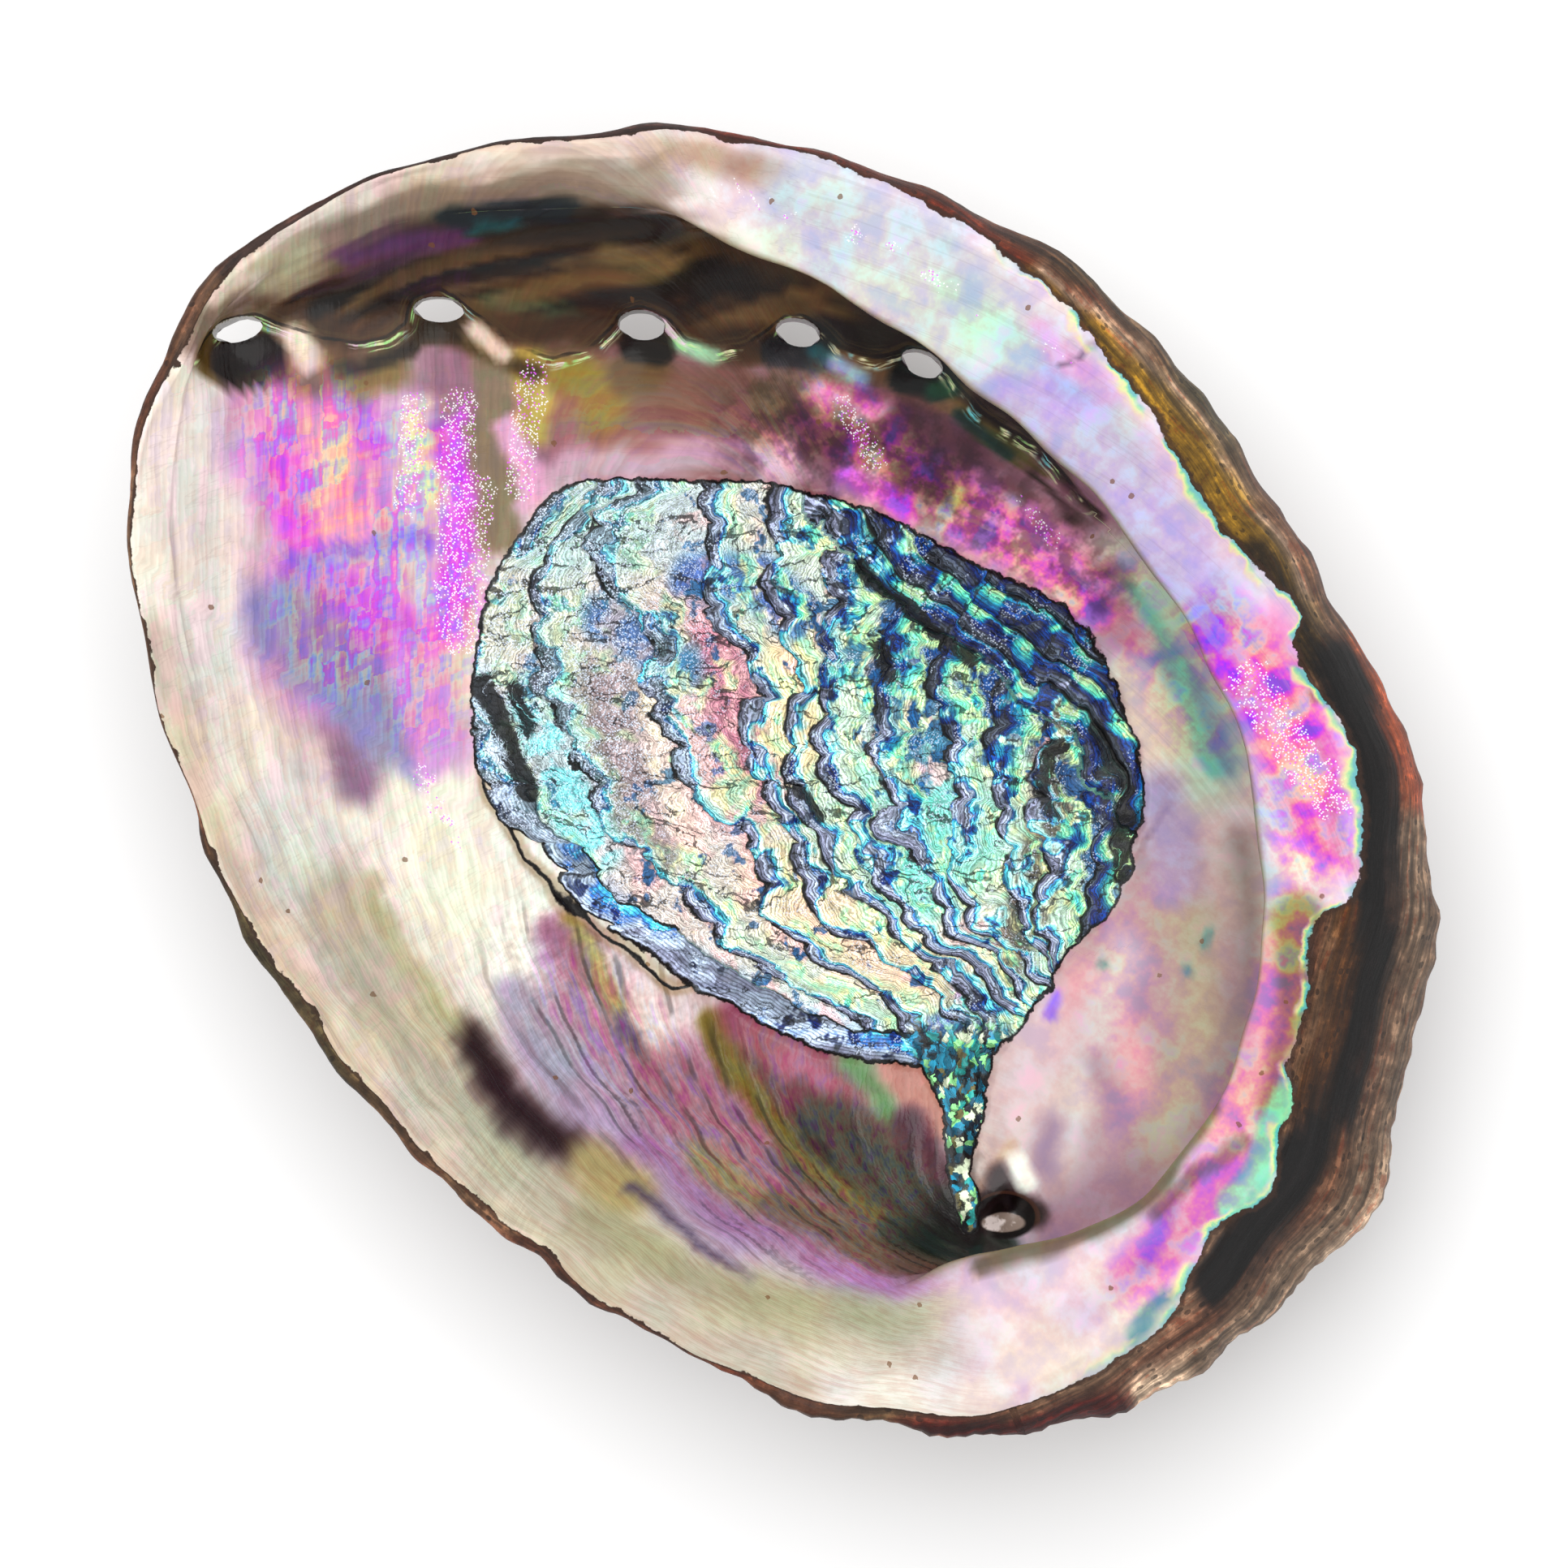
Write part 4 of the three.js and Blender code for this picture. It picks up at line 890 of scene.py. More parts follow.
# Where the painted glints go: tiny bright speckles in place of the sparkle of light
GLINT_SPECKS = [
    (1.5, 3, 1, [(56.5, 50), (56, 62), (56.5, 78)]), (1, 2, 0.9, [(51, 50), (50, 62)]),
    (1.2, 2, 0.9, [(65.6, 46), (64, 60)]), (1, 2, 0.7, [(60, 60), (58, 76)]),
    (1, 3, 0.5, [(52, 96), (56, 104)]), (1, 3, 0.7, [(104, 50), (108, 57)]),
    (1, 4, 0.4, [(90, 24), (110, 30), (130, 44)]),
    (2, 3, 0.8, [(154, 84), (164, 98)]), (1, 2, 0.5, [(126, 62), (130, 67)]),
]


def strength(strokes):
    """The strongest of the strokes that are given as half width, softness, strength and points."""
    total = np.zeros_like(X)
    for half, soft, most, line in strokes:
        total = np.maximum(total, most * cover_of(half, soft, line, SX, SY))
    return total


crack = np.where(inside, beside(*shifted(0.4, 2.4, 191, 193, noise), CRACK), FAR_OFF)
crack = crack / (1 + 2.6 * bell(away(SX, SY, [BLISTER]), 2))
fringe = smooth(-70, -50, signed) * smooth(75, 55, signed) * np.ones_like(X)


def linear(colour):
    """The colour as the mesh and the shader keep it."""
    return np.where(colour <= 0.04045, colour / 12.92, ((colour + 0.055) / 1.055) ** 2.4)


rim_band = smooth(168, 186, direction_here % 360) * smooth(306, 294, direction_here % 360)
# What the materials read from the mesh, by name
fields = {
    "grow": grow, "cord": cord, "fanplace": fan_place, "rimward": rimward, "around": around_mm, "run": run,
    "ledge": ledge, "pitch": pitch, "tone": tone, "scar": scar_in, "dark": scar_dark, "blue": blue_side,
    "grey": grey_side, "tail": tail, "crust": crust, "fringe": fringe, "vivid": strength(VIVID),
    "glint_specks": strength(GLINT_SPECKS), "groove": np.where(inside, beside(SX, SY, GROOVE), FAR_OFF),
    "pitx": SX - PIT_OVAL[0], "pity": SY - PIT_OVAL[1], "rimband": rim_band, "calm": calm,
    "blocky": smooth(50, 90, spire_far), "fan": fan, "crumpled": crumpled, "crack": crack, "cloudy": cloudy,
}
colours = {"nacre": nacre, "crustcolour": crust_colour, "face": face}

# Mesh: near the middle, below and in the bowl, a ring has half as many points

THINNED_RINGS = 34  # those nearest the middle of the bowl
spot_x = REST_AT[0] + REST_RADIUS * np.cos(turn)
spot_y = REST_AT[1] + REST_RADIUS * np.sin(turn)
spot = np.stack([spot_x, spot_y, 0 * turn], axis=-1)
between = []
for t in (0.33, 0.66):
    ring = mix(spot, points[0], t)
    ring[:, 2] = points[0][:, 2] * t * t
    between.append(ring)
rings = [spot] + between + list(points)
EXTRA = len(between) + 1


def with_extra(values):
    """The same field with copies of its first ring for the rings of the flat spot."""
    return np.concatenate([np.repeat(values[:1], EXTRA, axis=0), values])


THIN_FROM = len(rings) - THINNED_RINGS
verts, faces, chosen = [], [], []
ring_start, ring_count = [], []
for r, ring in enumerate(rings):
    keep = np.arange(0, DIRECTIONS, 2) if r >= THIN_FROM or r < 2 else np.arange(DIRECTIONS)
    ring_start.append(sum(ring_count))
    ring_count.append(len(keep))
    verts.append(ring[keep])
    chosen.append(r * DIRECTIONS + keep)
verts = np.concatenate(verts)
chosen = np.concatenate(chosen)
for a, b, na, nb in zip(ring_start, ring_start[1:], ring_count, ring_count[1:]):
    if na == nb:
        i = np.arange(na)
        j = (i + 1) % na
        faces += np.stack([a + i, a + j, b + j, b + i], axis=1).tolist()
    else:
        few, many, count = (a, b, na) if na < nb else (b, a, nb)
        for k in range(count):
            f0, f1 = few + k, few + (k + 1) % count
            m0, m1, m2 = (many + (2 * k + n) % (2 * count) for n in range(3))
            three = [(f0, m1, m0), (f0, f1, m1), (f1, m2, m1)]
            faces += [[p, q, r] if na < nb else [p, r, q] for p, q, r in three]
faces.append(list(range(ring_count[0]))[::-1])
middle, last_start, last_count = len(verts), ring_start[-1], ring_count[-1]
middle_z = verts[last_start:last_start + last_count, 2].mean()
verts = np.concatenate([verts, [[0, 0, middle_z]]])
chosen = np.concatenate([chosen, chosen[last_start:last_start + 1]])
faces += [[middle, last_start + k, last_start + (k + 1) % last_count] for k in range(last_count)]


def put(name, data):
    """A new object in the scene."""
    thing = bpy.data.objects.new(name, data)
    bpy.context.collection.objects.link(thing)
    return thing


# Fine mesh, still in the drawing frame
mesh = bpy.data.meshes.new("shell_fine")
mesh.from_pydata(verts.tolist(), [], faces)
mesh.update()
for name, values in fields.items():
    attribute = mesh.attributes.new(name, "FLOAT", "POINT")
    attribute.data.foreach_set("value", with_extra(values).reshape(-1)[chosen].astype(np.float32))
for name, values in colours.items():
    attribute = mesh.attributes.new(name, "FLOAT_COLOR", "POINT")
    rgb = linear(np.clip(with_extra(values).reshape(-1, 3)[chosen], 0, 1))
    rgba = np.concatenate([rgb, np.ones((len(rgb), 1))], axis=1)
    attribute.data.foreach_set("color", rgba.reshape(-1).astype(np.float32))
work = bmesh.new()
work.from_mesh(mesh)

# Breathing holes: the skin is made finer around each oval, the faces inside the oval go, and a short
# tube joins the rim inside to the rim outside
HOLE_REACH = 9
HOLE_CEILING = 8
FINER_WITHIN = 1.9  # in half widths of the oval, as the two below
CUT_WITHIN = 1.02
OUT_OF_REACH = 99


def rims_of(edges):
    """Closed rims along the edges, each as its points in order."""
    left = dict.fromkeys(edges)
    rims = []
    while left:
        onward = next(iter(left))
        del left[onward]
        rim = [onward.verts[0], onward.verts[1]]
        while onward:
            onward = next((e for e in rim[-1].link_edges if e in left), None)
            if onward:
                del left[onward]
                rim.append(onward.other_vert(rim[-1]))
        rims.append(rim[:-1])
    return rims


def cut_hole(hole):
    """Cuts one breathing hole through both skins of the wall and joins them inside it."""
    hx, hy, length, width, angle, foot_level = hole
    c, s = math.cos(math.radians(angle)), math.sin(math.radians(angle))

    def oval(v):
        dx, dy = v.co.x - hx, v.co.y - hy
        return (dx * c + dy * s) / (length / 2), (dy * c - dx * s) / (width / 2)

    def far(v):
        aside = max(abs(v.co.x - hx), abs(v.co.y - hy))
        if v.co.z > foot_level + HOLE_CEILING or aside > HOLE_REACH:
            return OUT_OF_REACH
        return math.hypot(*oval(v))

    close = [e for e in work.edges if min(far(e.verts[0]), far(e.verts[1])) < FINER_WITHIN]
    bmesh.ops.subdivide_edges(work, edges=close, cuts=2, use_grid_fill=True)
    doomed = [f for f in work.faces if all(far(v) < CUT_WITHIN for v in f.verts)]
    bmesh.ops.delete(work, geom=doomed, context="FACES")
    pinched = True
    while pinched:
        around_hole = [v for v in work.verts if far(v) < FINER_WITHIN]
        pinched = [v for v in around_hole if sum(len(e.link_faces) == 1 for e in v.link_edges) > 2]
        torn = dict.fromkeys(f for v in pinched for f in v.link_faces)
        bmesh.ops.delete(work, geom=list(torn), context="FACES")
    rim_edges = [e for e in work.edges if len(e.link_faces) == 1]
    for rim in rims_of(rim_edges):
        turns = np.unwrap([math.atan2(q, p) for p, q in map(oval, rim)])
        turns = np.sort(turns) if turns[-1] > turns[0] else -np.sort(-turns)
        for v, a in zip(rim, turns):
            along, across_it = length / 2 * math.cos(a), width / 2 * math.sin(a)
            v.co.x = hx + along * c - across_it * s
            v.co.y = hy + along * s + across_it * c
    bmesh.ops.bridge_loops(work, edges=rim_edges)


for hole in HOLES:
    cut_hole(hole)
bmesh.ops.recalc_face_normals(work, faces=work.faces)
work.to_mesh(mesh)
work.free()

# Into the row frame, in metres
c, s = math.cos(LONG_AXIS_TURN), math.sin(LONG_AXIS_TURN)
flat = np.empty(len(mesh.vertices) * 3)
mesh.vertices.foreach_get("co", flat)
flat = flat.reshape(-1, 3)
turned = np.stack([flat[:, 0] * c - flat[:, 1] * s, flat[:, 0] * s + flat[:, 1] * c, flat[:, 2]], axis=1)
cad_low, cad_high = (np.array(corner) * MM_PER_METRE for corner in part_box("shell"))
shift = (cad_low + cad_high) / 2 - (turned.min(axis=0) + turned.max(axis=0)) / 2
shift[2] = 0
mesh.vertices.foreach_set("co", ((turned + shift) / MM_PER_METRE).reshape(-1))
mesh.polygons.foreach_set("use_smooth", np.ones(len(mesh.polygons), bool))
mesh.update()
shell = put("shell_fine", mesh)


# Materials, all on the one mesh: pearl, scar, crust and the two borders, by how each face lies

PAINT_STRENGTH = 0.86
PEARL_ROUGHNESS = 0.24
SCAR_ROUGHNESS = 0.34
CRUST_ROUGHNESS = 0.68
BUMP = {"Strength": 0.7, "Distance": 0.0006}
COAT = {"Specular IOR Level": 0.3, "Coat Weight": 0.1, "Coat Roughness": 0.12}

nodes, links, made = None, None, {}


def start_material(name):
    """An empty material on the mesh. The nodes placed from here on are its own."""
    global nodes, links
    material = bpy.data.materials.new(name)
    material.use_nodes = True
    nodes, links = material.node_tree.nodes, material.node_tree.links
    nodes.clear()
    made.clear()
    mesh.materials.append(material)


class Value:
    """What comes out of a node, for use in sums and products."""

    def __init__(self, socket):
        self.socket = socket

    def __add__(self, other):
        return calc("ADD", self, other)

    def __radd__(self, other):
        return calc("ADD", other, self)

    def __sub__(self, other):
        return calc("SUBTRACT", self, other)

    def __rsub__(self, other):
        return calc("SUBTRACT", other, self)

    def __mul__(self, other):
        return calc("MULTIPLY", self, other)

    def __lt__(self, other):
        return calc("LESS_THAN", self, other)

    def __gt__(self, other):
        return calc("GREATER_THAN", self, other)


def feed(socket, value):
    """A link, a colour or a number into a socket."""
    if isinstance(value, Value):
        links.new(value.socket, socket)
    elif isinstance(value, tuple) and len(value) == 3 and len(socket.default_value) == 4:
        socket.default_value = (*value, 1)
    else:
        socket.default_value = value


def place(kind, inputs, output=0, **settings):
    """A new node with those settings and inputs. The output that is asked for comes back, if any."""
    node = nodes.new("ShaderNode" + kind)
    for name, setting in settings.items():
        setattr(node, name, setting)
    for socket, value in inputs.items():
        feed(node.inputs[socket], value)
    return None if output is None else Value(node.outputs[output])


def calc(operation, a, b=0):
    """The result of one sum, product or comparison."""
    return place("Math", {0: a, 1: b}, operation=operation)


def ramp(value, low, high, out_low=0, out_high=1):
    """Goes smoothly from out_low to out_high while the value goes from low to high."""
    limits = {"From Min": low, "From Max": high, "To Min": out_low, "To Max": out_high}
    return place("MapRange", {"Value": value, **limits}, "Result", interpolation_type="SMOOTHSTEP")


def near(value, middle, width):
    """1 where the value is at the middle, falling to 0 that far from it."""
    return ramp(calc("ABSOLUTE", value - middle), width, 0.4 * width)


def blend_value(amount, a, b):
    """A number between a and b."""
    return place("Mix", {0: amount, 2: a, 3: b})


def blend(amount, a, b, way="MIX"):
    """A colour between a and b."""
    return place("Mix", {0: amount, 6: a, 7: b}, 2, data_type="RGBA", blend_type=way)


def srgb(*shade):
    """A shade in percent as the shader wants it."""
    return tuple(float(v) for v in linear(np.array(shade) / 100))


def ink(colour, shade, share):
    """The colour with a shade laid over it."""
    return blend(share, colour, srgb(*shade))


def scaled(colour_or_place, factor):
    """All three parts times the factor."""
    return place("VectorMath", {0: colour_or_place, "Scale": factor}, operation="SCALE")


def colour_ramp(value, stops, steps=False):
    """Colour along stops of place, red, green and blue, all in percent."""
    colour = place("ValToRGB", {0: value}, "Color")
    gradient = colour.socket.node.color_ramp
    if steps:
        gradient.interpolation = "CONSTANT"
    while len(gradient.elements) < len(stops):
        gradient.elements.new(0.5)
    for element, (position, *shade) in zip(gradient.elements, stops):
        element.position = position / 100
        element.color = (*srgb(*shade), 1)
    return colour


def field(name, output="Fac"):
    """What the mesh carries under that name."""
    if (name, output) not in made:
        made[name, output] = place("Attribute", {}, output, attribute_name=name)
    return made[name, output]


def spot_on(u, v, size_u, size_v):
    """A place on the flat chart with those two coordinates, each divided by its size."""
    return place("CombineXYZ", {0: u * (1 / size_u), 1: v * (1 / size_v)})


def here(size_mm):
    """The place seen from above, in units of that size."""
    return scaled(place("TexCoord", {}, "Object"), MM_PER_METRE / size_mm)


def grain(where, detail=2, roughness=0.5):
    """Flat noise from 0 to 1 with lumps of about 1 unit."""
    look = {"Vector": where, "Scale": 1, "Detail": detail, "Roughness": roughness}
    return place("TexNoise", look, "Fac", noise_dimensions="2D")


def vividly(colour, power, gain):
    """The colour with more contrast, channel by channel."""
    return scaled(place("Gamma", {"Color": colour, "Gamma": power}), gain)


def cells(where):
    """Distance to the middle of the nearest cell, and that cell's own random colour."""
    far = place("TexVoronoi", {"Vector": where, "Scale": 1}, "Distance", voronoi_dimensions="2D")
    return far, Value(far.socket.node.outputs["Color"])


def bricks(u, v):
    """A random number for each brick of a wall whose columns stand unevenly."""
    column = calc("FLOOR", u)
    wall = spot_on(column, calc("FLOOR", v + column * 0.37), 1, 1)
    return place("TexWhiteNoise", {"Vector": wall}, "Value", noise_dimensions="2D")


def calmed(value):
    """The value, drawn to its middle beside the cut where the cords' count starts again."""
    return 0.5 + (value - 0.5) * field("calm")


def pearl_skin():
    """Smooth pearl: its colour, roughness and height."""
    grow, line_across = field("grow"), field("cord")
    cloud = grain(here(2.6), 4, 0.6)
    band = calmed(grain(spot_on(grow, line_across, 1.6, 16), 3, 0.6))
    cross = calmed(grain(spot_on(grow, line_across, 18, 3.2), 3, 0.6))
    near_by = cloud * 0.7
    small = bricks(grow * 0.75 + near_by, line_across * 0.34 + near_by)
    large = bricks(grow * 0.34 + near_by, line_across * 0.13 + near_by)
    patch = small * 0.38 + large * 0.62
    patch = 0.5 + (patch - 0.5) * field("blocky")
    cross = 0.5 + (cross - 0.5) * field("blocky")
    in_lines = patch * 0.9 + band * 1.1 + cross * 0.8
    clouds = grain(here(5.5), 4, 0.58)
    in_clouds = clouds * 1.9 + cloud * 0.4 + 0.12
    hue = blend_value(field("cloudy"), in_lines, in_clouds) + field("crumpled") * -0.15 - 0.92
    play = colour_ramp(hue, [
        (0, 60, 44, 95), (10, 86, 32, 97), (24, 98, 50, 86), (36, 100, 78, 72),
        (48, 99, 97, 80), (57, 84, 95, 88), (65, 74, 82, 97), (75, 86, 58, 97),
        (86, 97, 52, 90), (96, 99, 84, 84),
    ])
    painted = field("nacre", "Color")
    tint = colour_ramp(hue, [
        (0, 98, 96, 100), (30, 100, 97, 93), (55, 95, 100, 97), (80, 100, 95, 97),
    ])
    colour = blend(0.75, painted, tint, "MULTIPLY")
    rows_of_light = blend_value(field("cloudy"), band, clouds)
    lightness = ramp(rows_of_light + cloud * 0.5, 0.5, 1, 0.89, 1.1)
    colour = scaled(colour, lightness)
    share = field("vivid") * field("calm") * ramp(patch + cross, 0.7, 1.15, 0.35, 0.9)
    colour = blend(share, colour, blend(0.72, play, blend(1, play, painted, "MULTIPLY")))
    striae = calc("SINE", grow * 9 + band * 14 + cloud * 7)
    in_rows = 1 - field("cloudy")
    striae = striae * in_rows
    colour = scaled(colour, ramp(striae, -1, 1, 0.97, 1.02))
    fan_sine = calc("SINE", field("fanplace") * (2 * math.pi / FAN_PITCH) + cloud * 0.8)
    fan_line = ramp(fan_sine, -0.7, -1) * field("fan")
    fan_line = fan_line * ramp(grain(here(9)), 0.4, 0.56)
    colour = blend(fan_line * 0.8, colour, scaled(colour, 0.34))
    colour = scaled(colour, 1 + (grain(here(1)) - 0.5) * field("fan") * 0.5)
    colour = scaled(colour, 1 + ramp(fan_sine, 0.5, 1) * field("fan") * 0.16)
    fold = ramp(grain(here(3.4), 3, 0.65), 0.38, 0.62, -0.38, 0.34)
    colour = scaled(colour, 1 + fold * field("crumpled"))
    crease = near(cross, 0.5, 0.012)
    colour = ink(colour, (40, 32, 30), crease * 0.08)
    # Painted glints: tiny white and magenta speckles where light would sparkle on the pearl
    far, own = cells(here(0.27))
    glint_speck_on = field("glint_specks") + cloud + band * 0.5 > 1.18
    glint_speck = (far < 0.42) * (own > 0.52) * glint_speck_on
    glint_speck_colour = blend((own > 0.62), srgb(93, 45, 98), (1, 0.97, 1))
    colour = blend(glint_speck * 0.8, colour, glint_speck_colour)
    dot_far, dot_own = cells(here(6.5))
    dot_far = dot_far + (grain(here(0.7)) - 0.5) * 0.09
    dot = (dot_far < dot_own * 0.058) * (dot_own > 0.76)
    colour = ink(colour, (52, 36, 20), dot * 0.7)

    # Fine lines that hang along the groove between the holes: black on it, glints of light below
    groove = field("groove") + (cloud - 0.5) * 0.5
    along = field("around")
    threads = ramp(grain(spot_on(groove, along, 0.42, 8), 2, 0.6), 0.42, 0.6)
    broken = ramp(grain(spot_on(groove, along, 4, 5)), 0.44, 0.6)
    glint = ramp(groove, 0.1, 0.4) * ramp(groove, 1.9, 0.9) * broken * threads
    glint_colour = colour_ramp(hue, [
        (0, 55, 92, 95), (35, 100, 97, 82), (60, 70, 95, 62), (90, 99, 88, 95),
    ])
    colour = blend(glint * 0.85, colour, glint_colour)
    olive_thread = ramp(groove, -1.8, -0.6) * ramp(groove, 0, -0.3) * threads * band
    colour = ink(colour, (42, 36, 22), olive_thread * 0.6)
    on_groove = near(groove, 0, 0.3) * ramp(cross, 0.36, 0.56)
    colour = ink(colour, (5, 4, 3), on_groove * 0.75)

    # The spire's pit: a dark hollow of painted shade, a painted shadow under its upper brow, and a pale
    # pearly oval at its bottom
    pit_x, pit_y = field("pitx"), field("pity")
    hollow = oval(pit_x, pit_y + 0.9, 4.3, 3)
    # Painted shade inside the pit's hollow
    colour = ink(colour, (11, 6, 5), ramp(hollow, 1.05, 0.9))
    # Painted shadow along the pit's upper brow
    brow_shadow = near(hollow, 1, 0.1) * ramp(pit_y, 0.6, -0.6)
    colour = ink(colour, (38, 26, 20), brow_shadow * 0.7)
    floor_oval = oval(pit_x, pit_y, 2.9, 1.25)
    oval_colour = blend(ramp(cloud, 0.5, 0.66), srgb(62, 56, 52), srgb(92, 88, 86))
    colour = blend(ramp(floor_oval, 1.05, 0.85), colour, oval_colour)

    # Crack by the scar, with an ochre glow beside it
    crack = field("crack") + (cloud - 0.5) * 0.7
    colour = ink(colour, (62, 48, 16), near(crack, 0, 1.4) * 0.45)
    colour = ink(colour, (9, 6, 4), near(crack, 0, 0.32))
    height = striae * 0.015 + band * in_rows * 0.12 + cloud * 0.15
    return vividly(colour, power=1.3, gain=1.2), PEARL_ROUGHNESS, height


def oval(x, y, half_width, half_height):
    """1 on an oval around 0, 0 and less inside it."""
    across_it, up_it = x * (1 / half_width), y * (1 / half_height)
    return calc("SQRT", across_it * across_it + up_it * up_it)


def scar_skin():
    """The scar's terraces: colour, roughness and height, and the wobble of their lines."""
    wobble = grain(here(1.6), 3, 0.6)
    ledge_at = field("ledge") + (wobble - 0.5) * 0.16
    part_way = calc("FRACT", ledge_at)
    rim_far = field("scar") + (grain(here(5), 4, 0.6) - 0.5) * 3.4
    rim = field("rimband") * ramp(rim_far, 4.8, 4.5)
    past = blend_value(rim, part_way * field("pitch"), field("scar") * 0.14 + 1.1)
    before = (1 - part_way) * field("pitch")
    run = field("run")
    broad = grain(here(5), 4, 0.6)
    lamina = grain(spot_on(past + wobble * 0.5, run, 0.6, 9), 3, 0.8)
    uneven = broad - 0.5
    # The way out from the ledge, in mm: a grey band, a thin blue line, a pale line and then the face
    wide_by = 0.75 + field("tone") * 0.6 + uneven * 1.6
    gone = ramp(grain(here(6.5), 2, 0.5), 0.52, 0.4) * (1 - rim)
    out = past * wide_by + (lamina - 0.5) * 1.5 + gone * 2
    pale = colour_ramp(out * 0.12, [
        (0, 38, 39, 46), (10, 64, 66, 75), (18, 76, 82, 89), (23, 22, 44, 70),
        (28, 42, 84, 90), (37, 86, 99, 94), (48, 99, 99, 74), (60, 64, 92, 78),
        (78, 97, 94, 76), (100, 97, 80, 80),
    ])
    deep = colour_ramp(out * 0.12, [
        (0, 22, 22, 26), (12, 42, 46, 52), (20, 7, 16, 42), (30, 6, 36, 66),
        (40, 10, 62, 72), (52, 52, 92, 78), (64, 86, 96, 72), (80, 10, 40, 60),
    ])
    blueness = ramp(field("blue") * 0.36 + grain(here(4.2), 3, 0.6), 0.59, 0.66)
    colour = blend(blueness, pale, deep)
    grey = field("grey") * ramp(broad, 0.62, 0.44, 0.05, 0.5)
    colour = ink(colour, (56, 68, 68), grey)
    face_share = ramp(out, 2.6, 3.6) * ramp(broad, 0.4, 0.54, 0.3, 0.88)
    colour = blend(face_share * (1 - blueness * 0.7), colour, field("face", "Color"))
    depth = ramp(out, 4.2, 2, 0.84, 0.55)
    colour = scaled(colour, ramp(lamina, 0.4, 0.6, depth, 1.2))
    thin_lamina = calc("SINE", past * 13 + lamina * 7 + wobble * 2 + rim * field("scar") * 11)
    deepest = blend_value(rim, ramp(out, 3.6, 1.8, 0.66, 0.42), 0.66)
    colour = scaled(colour, ramp(thin_lamina, -0.9, 0.1, deepest, 1.18))
    mottled = grain(here(1.1), 3, 0.7)
    colour = scaled(colour, ramp(mottled, 0.36, 0.6, 0.82, 1.12))
    crossing = grain(spot_on(past + broad * 6, run + wobble * 1.5, 11, 3.6), 2, 0.5)
    cross_line = near(crossing, 0.5, 0.017)
    colour = ink(colour, (5, 7, 9), cross_line * 0.75)
    blot = ramp(wobble + mottled * 0.7, 1.04, 1.14)
    colour = ink(colour, (6, 10, 16), blot * 0.85 * ramp(blueness, 0, 1, 0.4, 1))
    far, own = cells(here(0.26))
    shine = (far < 0.42) * (own > 0.56)
    shine = shine * ramp(broad + grey * 0.3, 0.52, 0.6)
    colour = ink(colour, (90, 94, 100), shine * (0.5 + grey * 0.5))
    streak = ramp(field("dark") + (lamina - 0.5) * 2, 0.55, 0.8)
    colour = blend(streak, colour, scaled(colour, 0.08))
    # Black line at the foot of each ledge: painted shade in the crevice under the step
    width = 0.1 + wobble * 0.42
    black = calc("MAXIMUM", ramp(past, width, width * 0.55), ramp(before, 0.26, 0.06))
    black = black * (1 - rim)
    black = calc("MAXIMUM", black, field("rimband") * near(rim_far, 4.7, 0.3))
    strong = ramp(field("tone"), 0.05, 0.35, 0.35, 0.95) * ramp(gone, 0, 1, 1, 0.35)
    colour = ink(colour, (5, 6, 6), black * strong)

    # The strip down to the spire's pit is made of small grains instead
    chip_x = field("pitx") + wobble * 2.2
    chip_y = field("pity") + lamina * 2.2
    chip_far, chip_own = cells(spot_on(chip_x, chip_y, 0.8, 1.1))
    grains = colour_ramp(chip_own, [
        (0, 8, 11, 12), (24, 10, 38, 46), (36, 24, 68, 66), (46, 62, 86, 62),
        (55, 50, 48, 34), (62, 86, 90, 80), (70, 20, 60, 70), (82, 12, 18, 24),
    ], True)
    grain_light = ramp(chip_far, 0.72, 0.5, 0.16, 1) * ramp(lamina, 0.4, 0.6, 0.6, 1.3)
    grains = scaled(grains, grain_light)
    colour = blend(field("tail"), colour, grains)
    edge = field("scar") + (wobble - 0.5) * 1
    rim_black = ramp(edge, 0.5, 0.25) * ramp(edge, -0.14, 0.04)
    colour = ink(colour, (6, 5, 5), rim_black)
    height = lamina * 0.45 + wobble * 0.2 + mottled * 0.12 + black * -0.35
    return vividly(colour, power=1.38, gain=1.56), SCAR_ROUGHNESS, height, edge


def crust_skin():
    """Rough outside: colour, roughness and height."""
    streak = grain(spot_on(field("rimward"), field("around"), 1.1, 14), 5, 0.62)
    lump = grain(here(2.2), 4, 0.65)
    colour = field("crustcolour", "Color")
    colour = scaled(colour, ramp(streak + lump * 0.5, 0.5, 1, 0.45, 1.5))
    pale = ramp(streak + lump, 1.08, 1.3)
    colour = blend(pale * 0.6, colour, scaled(colour, 1.9))
    rust = ramp(streak + lump * -1, 0.1, 0.26)
    colour = blend(rust * 0.4, colour, blend(1, colour, srgb(100, 60, 40), "MULTIPLY"))
    far, own = cells(spot_on(field("rimward"), field("around"), 1.4, 1.9))
    pore = (far < 0.24) * (own > 0.46)
    colour = ink(colour, (9, 6, 5), pore * 0.6 * ramp(lump, 0.46, 0.6))
    height = streak * 1.5 + lump * 0.8 + pore * -0.4
    return vividly(colour, power=1.3, gain=1.2), CRUST_ROUGHNESS, height


